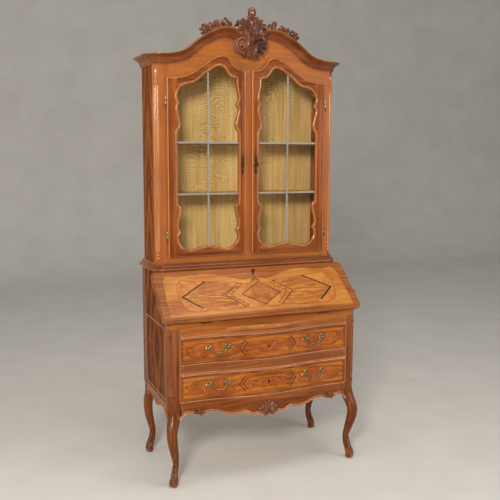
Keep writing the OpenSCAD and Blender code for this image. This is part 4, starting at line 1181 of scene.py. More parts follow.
def marquetry(z0, body, name):
    """Veneer pictures laid into a drawer front."""
    cz = z0 + DRAWER_H / 2
    w = POST_IN - GAP
    front = slab_on(box_loop(w, z0 + GAP, z0 + DRAWER_H - GAP), 22, top=-1)
    piece(name + "_front_board", front, band, body, [name + "_front"], angle=30)

    def lay(word, loops, top, material):
        shape = Shape()
        for loop in loops:
            shape.add(inlay(loop, top - 1, 12, on_bow))
        piece(name + "_" + word, shape, material, body, angle=30,
              slot="veneer")

    inset = 9
    field = box_loop(w - inset, z0 + GAP + inset, z0 + DRAWER_H - GAP - inset)
    lay("stringing", [offset_loop(field, 1.3)], 0.14, ink_soft)
    lay("field", [field], 0.24, drawer_field)
    clouds, rims, dark, pale = [], [], [], []
    for hand in (-1, 1):
        big = cloud(hand * 278, cz - 1, 112, 33, 7, 0.075, 0.6 + hand)
        oval = cloud(hand * 73, cz, 15, 12, 3, 0.05)
        clouds += [big, oval]
        rims += [offset_loop(clean(big), 2.2), offset_loop(clean(oval), 2.0)]
        dark.append(chevron(hand * 149, 30, 7, cz, -hand, 37))
        pale.append(chevron(hand * 140, 27, 8, cz, -hand, 33))
        dark.append(chevron(hand * 128, 22, 6, cz, -hand, 27))
        pale.append([(hand * 120, cz), (hand * 98, cz + 24), (hand * 92, cz), (hand * 98, cz - 24)])
    middle = cloud(0, cz - 1, 60, 23, 6, 0.1, 1.57)
    clouds.append(middle)
    rims.append(offset_loop(clean(middle), 2.0))
    lay("rims", rims, 0.30, ink_and_keyhole_shade)
    lay("burrs", clouds, 0.38, burr)
    lay("chevrons", dark, 0.44, ink_soft)
    lay("tips", pale, 0.40, band)


marquetry(Z_UPPER, "upper_drawer", "upper_drawer")
marquetry(Z_LOWER, "lower_drawer", "lower_drawer")

# ---- fall front -----------------------------------------------------------------------------

FALL_HALF = EDGE + 25
edge_half = ([(0, 0)] + moved(smooth([(-36, 0), (-11, 4), (0, 18), (-1, 50), (2, 88), (7, 103)], 6),
                              FALL_HALF, 0)
             + moved(smooth([(3, 110), (-3, 116), (-4, 150), (-1, 190), (1, FALL_LEN - 72),
                             (0, FALL_LEN - 40), (-3, FALL_LEN - 16), (-14, FALL_LEN)], 6),
                     FALL_HALF, 0))
board = edge_half + [(-x, y) for x, y in reversed(edge_half[1:])]
fall = framed([(board, [(5, -FALL_T), (1.5, -FALL_T + 2), (0, -FALL_T + 6), (0, -9), (1.2, -4.5),
                        (4, -1.2), (9, 0)])], on_fall)
piece("fall_front_board", fall, red_across, "fall_front", ["fall_front"],
      angle=45)


def mirror_path(half_path):
    return [(-x, y) for x, y in reversed(half_path)] + [p for p in half_path if p[0] > 0.01]


top_half = smooth([(0, 239), (30, 226), (62, 221), (110, 236), (160, 256), (230, 272), (300, 270),
                   (350, 264), (395, 262), (428, 268), (448, 258), (458, 226)], 6)
field = mirror_path(top_half) + [(464, 110), (468, 22), (-468, 22), (-464, 110)]


def lay_fall(word, loops, top, material):
    shape = Shape()
    for loop in loops:
        shape.add(inlay(loop, top, 0, on_fall))
    piece("fall_" + word, shape, material, "fall_front", angle=30,
          slot="veneer")


def wavy(points):
    return smooth(points, 5, closed=True)


lay_fall("stringing", [offset_loop(clean(field), 1.6)], 0.12, ink_soft)
lay_fall("field", [field], 0.22, gold_across)
# A long burr panel with a dark outline lies behind the chevrons.
long_half = smooth([(0, 208), (60, 194), (110, 206), (160, 208), (200, 214), (246, 222),
                    (326, 230), (372, 236), (396, 200), (402, 140), (392, 90), (364, 54),
                    (318, 44), (262, 56), (200, 44), (120, 56), (60, 46), (0, 56)], 5)
long_panel = [(-x, y) for x, y in reversed(long_half)][1:-1] + long_half
lay_fall("panel_rim", [offset_loop(clean(long_panel), 1.9)], 0.28, ink_soft)
lay_fall("panel", [long_panel], 0.34, burr_pale)
heart = []
for hand in (-1, 1):
    heart.append([(hand * 384, 138), (hand * 256, 222), (hand * 150, 208), (hand * 112, 170),
                  (hand * 182, 134), (hand * 112, 98), (hand * 130, 62), (hand * 306, 66)])
lay_fall("hearts", heart, 0.40, heart_wood)
gold, dark, outer = [], [], []
mid = 132
for hand in (-1, 1):
    outer.append([(hand * 390, 137), (hand * 262, 224), (hand * 250, 224), (hand * 378, 137),
                  (hand * 298, 62), (hand * 308, 62)])
    gold.append([(hand * 340, mid), (hand * 190, 168), (hand * 118, 186), (hand * 196, 134),
                 (hand * 122, 84), (hand * 196, 96)])
    for tip, reach, wide in ((176, 84, 6), (146, 70, 3.5)):
        dark.append([(hand * tip, mid), (hand * (tip - reach), mid + reach * 0.86),
                     (hand * (tip - reach - wide), mid + reach * 0.86), (hand * (tip - wide), mid),
                     (hand * (tip - reach - wide), mid - reach * 0.98),
                     (hand * (tip - reach), mid - reach * 0.98)])
    gold.append([(hand * 164, mid), (hand * 84, 201), (hand * 66, 201), (hand * 142, mid),
                 (hand * 66, 52), (hand * 84, 52)])
lay_fall("golden_bands", gold, 0.46, gold_bias)
lay_fall("chevrons", dark, 0.52, ink_and_keyhole_shade)
lay_fall("outer_chevrons", outer, 0.52, ink_black)
cx, cy = 8, 129
diamond = [(cx + 103, cy), (cx, cy + 72), (cx - 103, cy), (cx, cy - 72)]
lay_fall("diamond_rim", [diamond], 0.58, ink_black)
lay_fall("diamond", [[(cx + 96, cy), (cx, cy + 67), (cx - 96, cy), (cx, cy - 67)]], 0.64, burr_mid)
lay_fall("key_drop", [wavy([(-26, 204), (0, 214), (26, 204), (14, 228), (4, 240), (0, 262),
                            (-6, 240), (-14, 228)])], 0.60, band)
lean = math.radians(-24)
drop = [(0, -21), (4, -13), (6, -2), (7.5, 9), (3, 22), (-3, 20), (-6, 6), (-4, -8)]
key = framed([(clean(wavy([(6 + x * math.cos(lean) - y * math.sin(lean),
                               266 + x * math.sin(lean) + y * math.cos(lean)) for x, y in drop])),
               [(0, -0.4), (0, 0.8), (1, 1.8), (2, 2.2)])], on_fall)
piece("fall_key_plate", key, ink_black, "fall_front", slot="brass", angle=40)
rim = strip(clean(board), [(3.4, -1.0), (4.6, 0.1), (6.0, 0.25), (7.4, 0.1), (8.4, -0.6)], on_fall,
            closed=True)
piece("fall_edge_bead", rim, red_across, "fall_front", angle=50)

# ---- waist moulding and cornice -------------------------------------------------------------


def around(front_rows, profile, height_of):
    """A moulding round the cabinet: along one side, over the canted corners and back. profile
    rows are (out, up); height_of(x, up) gives the height on the front."""
    w, d = CAB_HALF, CAB_D
    corner = []
    for k in range(13):
        a, t = math.radians(7.5 * k), k / 12
        corner.append((w - CANT * t, d - CANT * (1 - t), math.cos(a), math.sin(a)))
    stations = [((-w, 0), (-1, 0))] + [((-x, dd), (-ox, od)) for x, dd, ox, od in corner]
    stations += [((x, d), (0, 1)) for x in front_rows]
    stations += [((x, dd), (ox, od)) for x, dd, ox, od in reversed(corner)] + [((w, 0), (1, 0))]
    rings = []
    for (x, dd), (ox, od) in stations:
        rings.append([(x + ox * out, dd + od * out, height_of(x, up)) for out, up in profile])
    return loft(rings)


steps = [(-1 + 2 * i / 30) * (CAB_HALF - CANT - 2) for i in range(31)]
waist = [(0, 0), (29, 0), (30, 1.5), (29.5, 4.5), (28, 6), (26, 6.6), (24, 9), (19, 11.5), (14, 15),
         (11, 19), (9, 22.5), (8.6, 24), (8.2, 25), (9.6, 26.2), (9.4, 28.2), (7, 29.6), (4, 30),
         (0, 30)]
piece("waist_moulding_run", around(steps, waist, lambda x, up: Z_WAIST + up), moulding, "case",
      ["waist_moulding"], slot="dark_walnut", angle=35)

CORNICE_H = 47


def cornice_height(x, up):
    return crown(x) - (CORNICE_H - up) * math.sqrt(1 + crown_slope(x) ** 2)


cornice = [(0, 0), (5, 0), (6.4, 1.8), (6.2, 4.2), (5, 6), (7.5, 7.2), (9, 10.2), (10, 14),
           (12.5, 16.3), (13, 19.3), (14.5, 23), (17.5, 26.5), (21, 29.5), (25, 31.5), (26.5, 32),
           (27, 34.2), (31, 35.4), (35.5, 37.6), (39, 40.5), (40.8, 42.5), (42, 44), (42, 46),
           (41, 47), (0, 47)]
steps = [(-1 + 2 * i / 96) * (CAB_HALF - CANT - 2) for i in range(97)]
piece("cornice_run", around(steps, cornice, cornice_height), moulding, "case", ["cornice"],
      slot="dark_walnut", angle=35)

# ---- pilasters ------------------------------------------------------------------------------

foot, head = Z_CAB + 22, Z_EAVES - CORNICE_H - 20
px, pd = CAB_HALF - CANT / 2, CAB_D - CANT / 2
column = Shape()
for k in (-1, 0, 1):
    x, d = px - k * 8.2 * half, pd + k * 8.2 * half
    path = [(x, d, foot + 34), (x, d, foot + 42), (x, d, (foot + head) / 2), (x, d, head - 86),
            (x, d, head - 74)]
    column.add(tube(path, lambda t: 4.7 if 0.1 < t < 0.9 else 3.0, 12, up=(half, half, 0)))
bell = [(0, 0), (8, 0), (11.5, 2), (12, 5), (10, 8), (7, 11), (8.5, 15), (10.5, 19), (9, 24),
        (8, 28), (9.5, 31), (0, 32)]
column.add(lathe(bell, (px - 1, pd - 1, foot - 2), 28))
column.add(lathe([(0, 0), (9, 1), (10.5, 3.5), (8.5, 6), (9, 9), (11.5, 13), (11, 17), (8.6, 20),
                  (8.4, 70), (0, 70)], (px - 1, pd - 1, head - 74), 28))
column.add(turned(petals((px, pd + 7, head - 60), 5, 9.5, 4.5), px, pd, -45))
sides("pilaster", column, walnut_pale, ["case"], angle=50,
      slot="walnut")
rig.replaces(bpy.data.objects["pilaster_right"], "pilasters")

# ---- doors ----------------------------------------------------------------------------------

DOOR_W = DOOR_OUT - DOOR_IN
DOOR_D = CAB_D + 0.8
GLASS_IN = DOOR_IN + 36.4
GLASS_OUT = DOOR_OUT - 48
GLASS_W = GLASS_OUT - GLASS_IN
door_top = smooth([(0, 47), (0.106, 53), (0.172, 76), (0.228, 104), (0.31, 111), (0.417, 97),
                   (0.545, 63), (0.697, 23), (0.85, 4), (1, 0)], 6)
door_outline = ([(DOOR_IN, DOOR_Z)]
                + [(DOOR_IN + x * DOOR_W, DOOR_Z + DOOR_H + z) for x, z in door_top]
                + [(DOOR_OUT, DOOR_Z)])


def up_from(points, z):
    return moved(smooth(points, 5), 0, z)


lobe_low = (smooth([(16, 119), (4, 102), (4, 78), (20, 51), (48, 34), (75, 33)], 5)
            + smooth([(75, 33), (115, 43), (GLASS_W / 2, 50.5)], 5))
lobe_side = smooth([(14, 244), (18, 225), (12, 200), (3, 163), (4, 138), (16, 119)], 5)
notch_low = smooth([(0, 262), (2, 252), (14, 244)], 5)
notch_high = up_from([(0, -252), (3, -242), (13, -232)], DOOR_H)
lobe_high = up_from([(13, -232), (17, -210), (8, -169), (1, -137), (13, -115)], DOOR_H)
lobe_inner = up_from([(13, -115), (1, -90), (3, -66), (11, -28), (13, 8)], DOOR_H)
lobe_outer = up_from([(0, -79), (2, -95), (13, -115)], DOOR_H)
arch = [(x * GLASS_W, z + DOOR_H) for x, z in smooth([
    (0.042, 8), (0.136, 16), (0.188, 33), (0.234, 54), (0.302, 62), (0.373, 57), (0.477, 38),
    (0.558, 21), (0.662, -6), (0.744, -21), (0.834, -27), (0.925, -38), (0.974, -58),
    (1, -79)], 5)]
low_side = notch_low + lobe_side + lobe_low


def from_in(points):
    return moved(points, GLASS_IN, DOOR_Z)


def from_out(points):
    return [(GLASS_OUT - x, z + DOOR_Z) for x, z in points]


opening = (from_in(low_side[::-1]) + from_in(notch_high) + from_in(lobe_high)
           + from_in(lobe_inner) + from_in(arch) + from_out(lobe_outer)
           + from_out(lobe_high[::-1]) + from_out(notch_high[::-1]) + from_out(low_side))
opening = clean(opening, 0.6)


def cross_grained(obj, hand):
    """Cuts a door frame where its rails meet its stiles and turns the grain of the rails."""
    bm = bmesh.new()
    bm.from_mesh(obj.data)
    inner, outer = hand * (DOOR_IN + 38) / 1000, hand * (DOOR_OUT - 50) / 1000
    cuts = [((x, 0, 0), (1, 0, 0)) for x in (inner, outer)]
    low, high = (DOOR_Z + 60) / 1000, (DOOR_Z + DOOR_H - 84) / 1000
    cuts += [((0, 0, z), (0, 0, 1)) for z in (low, high)]
    for point, normal in cuts:
        bmesh.ops.bisect_plane(bm, geom=bm.verts[:] + bm.edges[:] + bm.faces[:], dist=1e-6,
                               plane_co=point, plane_no=normal)
    for face in bm.faces:
        middle = face.calc_center_median()
        if min(inner, outer) < middle.x < max(inner, outer) and not low < middle.z < high:
            face.material_index = 1
    bm.to_mesh(obj.data)
    bm.free()
    obj.data.materials.append(walnut_across)


door = framed([
    (clean(door_outline, 0.6), [(0, 0), (0, 10), (0.8, 12.5), (2.6, 14), (5, 14.5)]),
    (opening, [(-1.5, 0), (0, 6), (0, 8.5), (9, 14.5)])], on_plane(DOOR_D))
sides("door_frame", door, walnut_up, ["door_left", "door_right"], angle=40)
trim = Shape()
trim.add(strip(opening, [(0.4, 7.5), (-0.6, 10.5), (0.2, 13.4), (-2.2, 15.6), (-5.4, 16.6),
                         (-8.4, 15.8), (-10.4, 14.2), (-10.4, 12)], on_plane(DOOR_D), closed=True))
trim.add(strip(clean(door_outline, 0.6), [(0.2, 9), (-0.2, 12), (0.8, 14.0), (2.6, 15.2),
                                          (4.8, 14.9), (6.2, 14.0), (6.2, 12)],
               on_plane(DOOR_D), closed=True))
sides("door_moulding", trim, walnut_trim, ["door_left", "door_right"], angle=55)
for word, hand in (("left", -1), ("right", 1)):
    obj = bpy.data.objects["door_frame_" + word]
    cross_grained(obj, hand)
    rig.replaces(obj, "door_" + word)

# Olive hinges and carved keyhole mounts.
fittings = Shape()
HINGE_X, HINGE_D = DOOR_OUT + 5.5, DOOR_D + 10.2
HINGE_ROWS = (DOOR_Z + 107, DOOR_Z + DOOR_H - 102)
for z in HINGE_ROWS:
    fittings.add(lathe([(0, 0), (2.6, 0.3), (4.1, 2), (4.3, 5), (4.2, 15), (3.4, 17), (4.3, 19),
                        (4.3, 20), (0, 20)], (HINGE_X, HINGE_D, z), 20))
    fittings.add(lathe([(0, 20), (1.2, 20), (2.8, 21.5), (3.6, 24), (3.0, 26.5), (1.4, 28),
                        (0.9, 29.5), (0, 30)], (HINGE_X, HINGE_D, z), 20))
    fittings.add(framed([([(HINGE_X - 13, z + 1), (HINGE_X - 2, z + 1), (HINGE_X - 2, z + 19),
                           (HINGE_X - 13, z + 19)], [(0, 0), (0, 1.2), (0.8, 1.8)])],
                        on_plane(DOOR_D + 8)))
sides("door_hinges", fittings, brass, ["door_left", "door_right"],
      slot="brass", angle=50)
lower_halves = Shape()
for z in HINGE_ROWS:
    lower_halves.add(lathe([(0, -30), (0.9, -29.5), (1.4, -28), (3.0, -26.5), (3.6, -24),
                            (2.8, -21.5), (4.1, -20), (4.3, -18), (4.3, -3), (3.4, -0.8),
                            (0, -0.6)], (HINGE_X, HINGE_D, z), 20))
sides("case_hinge_olives", lower_halves, brass, ["case"],
      slot="brass", angle=50)

PLATE_X, PLATE_Z = 35, DOOR_Z + DOOR_H / 2 + 21
mount = Shape()
plate = [(0, -46), (6, -38), (9, -28), (5, -22), (10, -12), (11, 0), (9, 12), (4, 20), (9, 28),
         (7, 38), (0, 47), (-7, 38), (-9, 28), (-4, 20), (-9, 12), (-11, 0), (-10, -12), (-5, -22),
         (-9, -28), (-6, -38)]
outline = moved(smooth(plate, 4, closed=True), PLATE_X, PLATE_Z)
mount.add(framed([(outline, [(0, 0), (0, 1.2), (1, 2.2), (2.6, 2.5)])],
                 on_plane(DOOR_D + DOOR_T)))
for sign in (-1, 1):
    mount.add(leaf([(PLATE_X, DOOR_D + out, PLATE_Z + sign * up) for out, up in
                    ((16, 14), (19, 27), (17, 42))], 8, 2.5, lobes=3, thick=2, curl=2,
                   rows=16))
mount.add(tube([(PLATE_X + 8 * math.cos(t / 3), DOOR_D + 17, PLATE_Z + 10 * math.sin(t / 3))
                for t in range(20)], 1.5, 8))
sides("keyhole_mount", mount, dark_brass, ["door_left", "door_right"],
      slot="brass", angle=55)
for word in ("left", "right"):
    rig.replaces(bpy.data.objects["door_hinges_" + word], "door_fittings_" + word)

# ---- handles --------------------------------------------------------------------------------

HANDLE_X, POST_X, DROP, PIVOT = 244, 45, 28, 11
tilt = math.degrees(math.atan(BOW * math.sin(math.radians(180 * HANDLE_X / BOW_HALF))
                              * math.pi / 2 / BOW_HALF))


def handle_place(shape, hand, z):
    """From a handle drawn round its own middle to its place on a drawer."""
    base_d, base_z = bow_at(HANDLE_X) - 1, z + DRAWER_H / 2 + 12
    a = math.radians(-hand * tilt)
    c, s = math.cos(a), math.sin(a)
    verts, faces = shape
    return [(hand * HANDLE_X + v[0] * c - v[1] * s, base_d + v[0] * s + v[1] * c, base_z + v[2])
            for v in verts], faces


def backplates():
    shape = Shape()
    for hand in (-1, 1):
        cx = hand * POST_X
        for k, (angle, reach, w) in enumerate(((90, 19, 6.5), (150, 17, 6), (32, 18, 6),
                                               (-20, 21, 6), (-90, 16, 6), (215, 17, 6))):
            a = math.radians(angle if hand > 0 else 180 - angle)
            ca, sa = math.cos(a), math.sin(a)
            shape.add(leaf([(cx + 2 * ca, 2.0, 2 * sa), (cx + reach * 0.55 * ca, 4.6, reach * 0.55 * sa),
                            (cx + reach * ca, 2.0, reach * sa)], w, 2.2, lobes=2, thick=3.0,
                           curl=1.6, cut=0.3, cols=7, rows=12))
        shape.add(lathe([(7.5, 0.5), (8, 2), (6.2, 3.6), (5.2, 5), (4.4, 8), (4.6, PIVOT - 3),
                         (5.4, PIVOT - 1.5), (5.6, PIVOT + 1), (4.6, PIVOT + 3.4),
                         (2.4, PIVOT + 4.6), (0, PIVOT + 5)], (cx, 0, 0), 20, axis="d"))
    return shape


def bail_shape():
    shape = Shape()
    half_path = [(0, -1.0), (5, -0.97), (16, -0.9), (24, -0.66), (27.2, -0.32), (25.2, -0.02)]
    widen = 36.4 / max(x for x, z in half_path)
    right = [(x * widen, PIVOT, z * DROP) for x, z in half_path]
    line_3d = smooth([(-x, d, z) for x, d, z in reversed(right)] + right[1:], 8)

    def thickness(t):
        s = abs(2 * t - 1)
        return 2.5 + 0.9 * math.exp(-(s / 0.12) ** 2) + 0.7 * math.exp(-((s - 0.42) / 0.08) ** 2) \
            + 0.5 * math.exp(-((s - 0.98) / 0.06) ** 2)

    shape.add(tube(line_3d, thickness, 12))
    for hand in (-1, 1):
        shape.add(tube([(hand * x, PIVOT, 0) for x in (33.4, 38, 49.5)], 1.8, 10))
        shape.add(leaf([(hand * 36, PIVOT + 1, -8), (hand * 30, PIVOT + 2.6, -18),
                        (hand * 20, PIVOT + 3.2, -25)], 3.6, 1.4, lobes=3, thick=2.4, curl=1,
                       rows=12, cols=5))
    return shape


for tier, z0 in (("upper", Z_UPPER), ("lower", Z_LOWER)):
    brasses = Shape()
    for hand, word in ((-1, "left"), (1, "right")):
        brasses.add(handle_place(backplates(), hand, z0))
        piece(f"{tier}_bail_{word}_casting", handle_place(bail_shape(), hand, z0), brass,
              f"{tier}_bail_{word}", [f"{tier}_bail_{word}"], slot="brass", angle=60)
    piece(f"{tier}_drawer_castings", brasses, brass, f"{tier}_drawer",
          [f"{tier}_drawer_brasses"], slot="brass", angle=60)
    # The keyhole's opening is a dark oval with a rim, laid on the front: painted shade in place of a hole.
    hole = Shape()
    cz = z0 + DRAWER_H / 2
    hole.add(inlay(cloud(0, cz, 4.2, 9.5, 2, power=1), -0.4, 0, on_bow))
    hole.add(strip(clean(cloud(0, cz, 4.6, 10, 2, power=1)), half_round(1.6, 0.9, base=-0.8),
                   lambda x, z, h: on_bow(x, z, h - 0.5), closed=True))
    piece(f"{tier}_keyhole", hole, ink_and_keyhole_shade, f"{tier}_drawer", slot="brass")

# ---- crest and garlands ---------------------------------------------------------------------

CREST_D = CAB_D + 42
CREST_Z = Z_EAVES - 8


def on_crest(points):
    """Crest points, given as across, in front of the cabinet's face, above the eaves."""
    return [(x, CAB_D + out, CREST_Z + up) for x, out, up in points]


crest = Shape()
# Backing that the carving grows out of.
backing = smooth([(0, 12), (-34, 17), (-74, 34), (-84, 62), (-70, 90), (-46, 104), (-34, 130),
                  (-44, 150), (-24, 166), (0, 166), (26, 168), (44, 152), (32, 130), (44, 110),
                  (60, 92), (62, 62), (42, 34), (20, 17)], 4, closed=True)
crest.add(framed([(moved(backing, 0, CREST_Z), [(0, 4), (0, 40), (3, 47), (8, 50)])],
                 on_plane(CAB_D)))
# Finial: a gadrooned bud on a leafy neck.
crest.add(lathe([(0, 150), (13, 152), (11, 166), (9, 176), (12, 184), (17, 192), (20.5, 203),
                 (21, 214), (18.5, 225), (13, 232), (6, 236), (0, TIP - CREST_Z)],
                *on_crest([(0, 46, 0)]), 48, lobes=8, depth=0.10))
for k in range(6):
    turn = math.radians(60 * k + 15)
    cq, sq = math.cos(turn), math.sin(turn)
    neck = [(r * cq, CREST_D + 4 + r * sq, CREST_Z + up) for r, up in
            ((8, 158), (15, 176), (20, 190), (27, 192))]
    crest.add(leaf(neck, 7, 2, lobes=2, face=(cq, sq, 0.2), thick=4, curl=2, rows=14, cols=7))
# Fan of long leaves under the finial.
for x, up, w, out, lobes in ((-72, 168, 12, 50, 4), (-50, 178, 11, 56, 3), (-24, 176, 10, 62, 3),
                             (2, 174, 11, 66, 3), (27, 182, 10, 62, 3), (50, 176, 11, 56, 3),
                             (68, 158, 12, 50, 4)):
    crest.add(leaf(on_crest([(2, 52, 92), (x * 0.28, out + 4, 122),
                             (x * 0.62, out + 6, 122 + (up - 122) * 0.7), (x * 0.92, out, up),
                             (x * 1.05, out - 8, up - 3)]),
                   w, 6, lobes=lobes, thick=9, curl=6, cut=0.26, rows=30, ribs=1.3))
# Left: a bundle of stems that sweeps down the cornice and winds into a volute.
for shift, w, out in ((0, 7.5, 56), (9, 6, 52), (-8, 5.5, 50)):
    stem = on_crest([(-66 - shift, 40, 134 - shift * 0.3), (-40 - shift * 0.4, out, 124 - shift * 0.4),
                     (-22 - shift * 0.3, out + 4, 100 - shift * 0.3),
                     (-17 - shift * 0.5, out + 2, 78), (-24 - shift * 0.3, out, 58)])
    crest.add(tube(smooth(stem, 8), lambda t, w=w: w * (0.35 + 0.65 * math.sin(math.pi * (0.15 + 0.75 * t))),
                   12, 0.8))
crest.add(spiral((-54, CAB_D, CREST_Z + 62), 20, 1.9, 34, 6.5, 8.0, 50, hand=1, rise=16, n=90))
crest.add(lathe([(33, -8), (34, 0), (30, 6), (20, 4), (8, 8), (0, 8)], *on_crest([(-54, 42, 62)]), 40,
                axis="d"))
# Middle: a tongue between the scrolls, and the leafy shell that hangs below.
crest.add(leaf(on_crest([(8, 60, 128), (2, 64, 104), (-4, 66, 82), (-2, 62, 60)]), 9, 6, lobes=3,
               thick=9, curl=5, ribs=1.2))
for x, up, w, out in ((-52, 16, 13, 50), (-26, 6, 12, 56), (0, 1, 12, 58), (22, 5, 11, 56)):
    crest.add(leaf(on_crest([(8 + x * 0.1, 56, 62), (x * 0.45 + 4, out + 5, 62 - (62 - up) * 0.5),
                             (x * 0.85, out + 2, up + 8), (x * 1.02, out - 6, up)]),
                   w, 6, lobes=3, thick=9, curl=6, cut=0.24, rows=26, ribs=1.3))
# Right: a shaded scroll that curls the other way, with leaves over it.
shade = Shape()
shade.add(spiral((44, CAB_D, CREST_Z + 70), 170, 1.2, 22, 7, 6.5, 40, hand=-1, rise=6, n=70))
for x, up, w in ((26, 7, 11), (50, 22, 12), (66, 44, 11), (72, 70, 10)):
    shade.add(leaf(on_crest([(14, 52, 84), (x * 0.6 + 6, 58, 84 - (84 - up) * 0.45),
                             (x * 0.95, 54, up + 10), (x * 1.06, 46, up)]),
                   w, 6, lobes=4, thick=9, curl=6, cut=0.28, rows=26, ribs=1.3))
piece("crest_shaded_side", shade, carving_painted_shade, "case", slot="dark_walnut", angle=60)
for width, path in (
        (12, [(14, 56, 96), (34, 60, 112), (58, 56, 116), (78, 48, 128), (92, 40, 128)]),
        (11, [(22, 58, 90), (46, 60, 98), (64, 54, 84), (70, 48, 64), (62, 46, 46)]),
        (12, [(-14, 56, 108), (-40, 58, 128), (-68, 52, 138), (-92, 42, 134)])):
    crest.add(leaf(on_crest(path), width, 6, lobes=5, thick=8, curl=5, rows=34, cut=0.28))
piece("crest_carving", crest, carving, "case", ["crest_cartouche"], slot="dark_walnut", angle=60)


def garland(hand, roses, sprigs, stem):
    """Leaves, stems and flowers that lie along the top of one hump."""
    shape = Shape()

    def g(x, over, out=26):
        return (hand * x, CAB_D + out, crown(x) + over)

    shape.add(tube(smooth([g(x, o, 24) for x, o in stem], 6),
                   lambda t: 6.2 - 3.2 * abs(2 * t - 1), 10, 0.8))
    shape.add(tube(smooth([g(x, o - 3, 34) for x, o in stem], 6),
                   lambda t: 4.4 - 2 * abs(2 * t - 1), 10, 0.8))
    for x, over, r in roses:
        shape.add(petals(g(x, over, 32), 5, r, 9, turn=0.3 * x))
        shape.add(petals((hand * x, CAB_D + 38, crown(x) + over), 5, r * 0.6, 7, turn=0.3 * x + 0.6))
    for x, over, dx, dz, w in sprigs:
        x0, x1 = x, x + dx
        base = Vector(g(x0, over, 30))
        peak = Vector((hand * x1, CAB_D + 30, base.z + dz))
        mid = base.lerp(peak, 0.55) + Vector((0, 8, abs(dx) * 0.18 + 3))
        curl = peak + Vector((hand * dx * 0.22, -7, -4 if dz > 12 else 2))
        shape.add(leaf([base, mid, peak, curl], w, 4, lobes=4, thick=5, curl=4, cut=0.34,
                       rows=22, ribs=1.0))
    return shape


left = garland(-1, [(171, 26, 19), (134, 16, 9), (206, 14, 9)],
               [(82, 8, -20, 10, 8), (96, 9, 14, 12, 8), (112, 10, 16, 28, 9),
                (146, 10, -4, 22, 8), (190, 12, 14, 20, 9), (186, 8, 30, 10, 9),
                (206, 8, 30, 22, 9), (212, 6, 34, 8, 9), (212, 4, 28, -8, 8),
                (160, 6, 18, 0, 8), (104, 4, 16, 2, 7)],
               [(70, 6), (110, 7), (160, 8), (200, 7), (236, 4)])
piece("garland_left", left, carving, "case", ["garlands"], slot="dark_walnut",
      angle=60)
right = garland(1, [(178, 20, 13), (74, 10, 8), (208, 10, 8), (150, 10, 8)],
                [(60, 8, 18, 8, 8), (86, 8, 14, 16, 8), (106, 8, 14, 26, 9), (126, 8, 4, 32, 7),
                 (166, 8, -4, 22, 7), (192, 10, 6, 22, 8), (200, 8, 22, 16, 8),
                 (214, 6, 28, 14, 9), (220, 5, 30, 0, 9), (214, 3, 26, -14, 8),
                 (160, 5, 18, 0, 7), (100, 4, 18, 0, 7)],
                [(62, 5), (110, 6), (160, 7), (200, 6), (238, 4)])
piece("garland_right", right, carving, "case", slot="dark_walnut", angle=60)

# ---- lippings, back edging and the stop behind the fall ----------------------------------------

SHELF_FRONT, SHELF_T, SHELF_HALF = CAB_D - 38, 9, CAB_HALF - 22
lips = Shape()
for z in (DOOR_Z + DOOR_H / 3 + 19, DOOR_Z + 2 * DOOR_H / 3 - 17):
    lips.add(strip([(-SHELF_HALF, z - SHELF_T / 2), (SHELF_HALF, z - SHELF_T / 2)],
                   [(-SHELF_T / 2, -0.4), (-SHELF_T / 2, 0.6), (-SHELF_T / 2 + 0.8, 1.4),
                    (SHELF_T / 2 - 0.8, 1.4), (SHELF_T / 2, 0.6), (SHELF_T / 2, -0.4)],
                   on_plane(SHELF_FRONT)))
piece("shelf_lipping", lips, shelf_edge, "case", slot="maple", angle=30)
back_t = mm("cabinet_back", 0, 1)
edging = [(CAB_HALF - 1, 0.2), (CAB_HALF + 0.5, 0.2), (CAB_HALF + 0.5, back_t - 0.2),
          (CAB_HALF - 1, back_t - 0.2)]
sides("back_edging", loft([[(x, d, z) for x, d in edging] for z in (Z_CAB, 1500, Z_EAVES - CORNICE_H)]),
      walnut_up, ["case"], angle=30)
stop = [(228, 968), (239, 968), (246, 975), (247.5, Z_WAIST), (228, Z_WAIST)]
piece("fall_stop", loft([[(x, d, z) for d, z in stop] for x in (-455, -200, 200, 455)]),
      walnut_across, "case", angle=30)

# ---- finishes of the CAD pieces that stay ---------------------------------------------------


def finish_node(names, material):
    for name in names.split():
        obj = frame["nodes"][name]
        obj.data.materials.clear()
        obj.data.materials.append(material)


finish_node("case_side_left case_side_right", case_side)
finish_node("cabinet_side_left cabinet_side_right", cab_side)
finish_node("stile_left stile_right centre_mullion", walnut_up)
finish_node("base_rail arched_frieze writing_board", walnut_bright)
finish_node("cabinet_back", maple)
finish_node("cabinet_bottom cabinet_top shelves case_top", shelf_wood)
finish_node("case_back", back_wood)
finish_node("gallery inner_drawer_left inner_drawer_middle inner_drawer_right", gallery_wood)
finish_node("case_bottom drawer_runners upper_drawer_box lower_drawer_box", inner_wood)
finish_node("fixed_hinge_halves fall_hinge_flaps fall_lock", dark_brass)
finish_node("shelf_pins", brass)
finish_node("door_key", dark_brass)
finish_node("glass_left glass_right", glass)
finish_node("cames_left cames_right", lead)

# ---- camera, floor and light ----------------------------------------------------------------

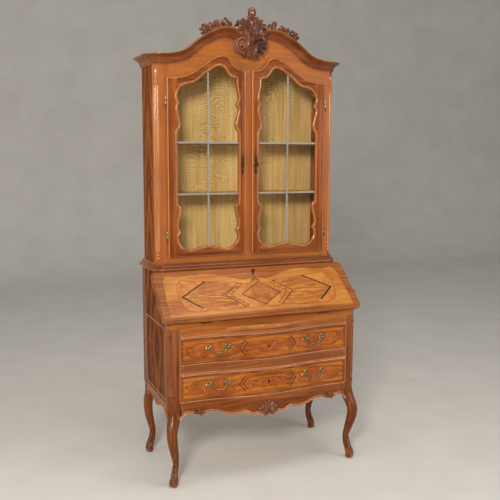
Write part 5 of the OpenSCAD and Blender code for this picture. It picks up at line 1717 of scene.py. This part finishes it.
scene = bpy.context.scene
camera_data = bpy.data.cameras.new("camera")
camera = bpy.data.objects.new("camera", camera_data)
scene.collection.objects.link(camera)
camera_data.sensor_width = 36
camera_data.lens = 53.45
yaw, pitch, roll = math.radians(21.83), math.radians(-7.65), math.radians(0.16)
camera.location = (-1.3489, -3.3646, 1.5449)
camera.rotation_mode = "XYZ"
look = Matrix.Rotation(-yaw, 4, "Z") @ Matrix.Rotation(math.pi / 2 + pitch, 4, "X") \
    @ Matrix.Rotation(roll, 4, "Z")
camera.rotation_euler = look.to_euler("XYZ")
scene.camera = camera
scene.view_settings.view_transform = "Standard"

backdrop = bpy.data.meshes.new("floor")
rows = [(-11, 0), (5.2, 0)] + [(5.2 + 1.6 * math.sin(a), 1.6 - 1.6 * math.cos(a))
                               for a in (i * math.pi / 24 for i in range(1, 13))] + [(6.8, 8)]
floor_verts = [(x, y, z) for y, z in rows for x in (-14, 14)]
floor_faces = [(2 * i, 2 * i + 1, 2 * i + 3, 2 * i + 2) for i in range(len(rows) - 1)]
backdrop.from_pydata(floor_verts, [], floor_faces)
backdrop.shade_smooth()
floor = bpy.data.objects.new("floor", backdrop)
scene.collection.objects.link(floor)
g = Graph("studio floor")
tone = g.noise(g.coords, 3, 3)
backdrop.materials.append(g.finish(g.ramp(tone, [(0.3, (0.62, 0.60, 0.57)), (0.7, (0.68, 0.66, 0.63))]),
                                   0.6))
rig.stage(floor)

world = bpy.data.worlds.new("studio")
scene.world = world
world.use_nodes = True
world.node_tree.nodes["Background"].inputs[0].default_value = (1, 0.97, 0.92, 1)
world.node_tree.nodes["Background"].inputs[1].default_value = 0.34


def area_light(name, where, target, size, power):
    data = bpy.data.lights.new(name, "AREA")
    data.shape = "RECTANGLE"
    data.size, data.size_y = size
    data.energy = power
    data.color = (1, 0.96, 0.9)
    lamp = bpy.data.objects.new(name, data)
    lamp.location = where
    lamp.rotation_euler = (Vector(target) - Vector(where)).to_track_quat("-Z", "Y").to_euler()
    scene.collection.objects.link(lamp)


area_light("key", (-2.2, -3.9, 2.7), (0, 0, 1.15), (0.9, 0.8), 170)
area_light("fill", (3.0, -3.4, 1.9), (0, 0, 1.0), (2.0, 2.0), 42)
area_light("top", (0.2, -0.9, 4.2), (0, 0, 1.0), (2.4, 1.6), 46)
area_light("side", (-3.6, -0.6, 1.8), (0, 0, 1.2), (1.2, 1.8), 20)

new_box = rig.bounds()
with open("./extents.json", "w") as out:
    json.dump({"cad": [list(v) for v in CAD_BOX], "visual": [list(v) for v in new_box]}, out)
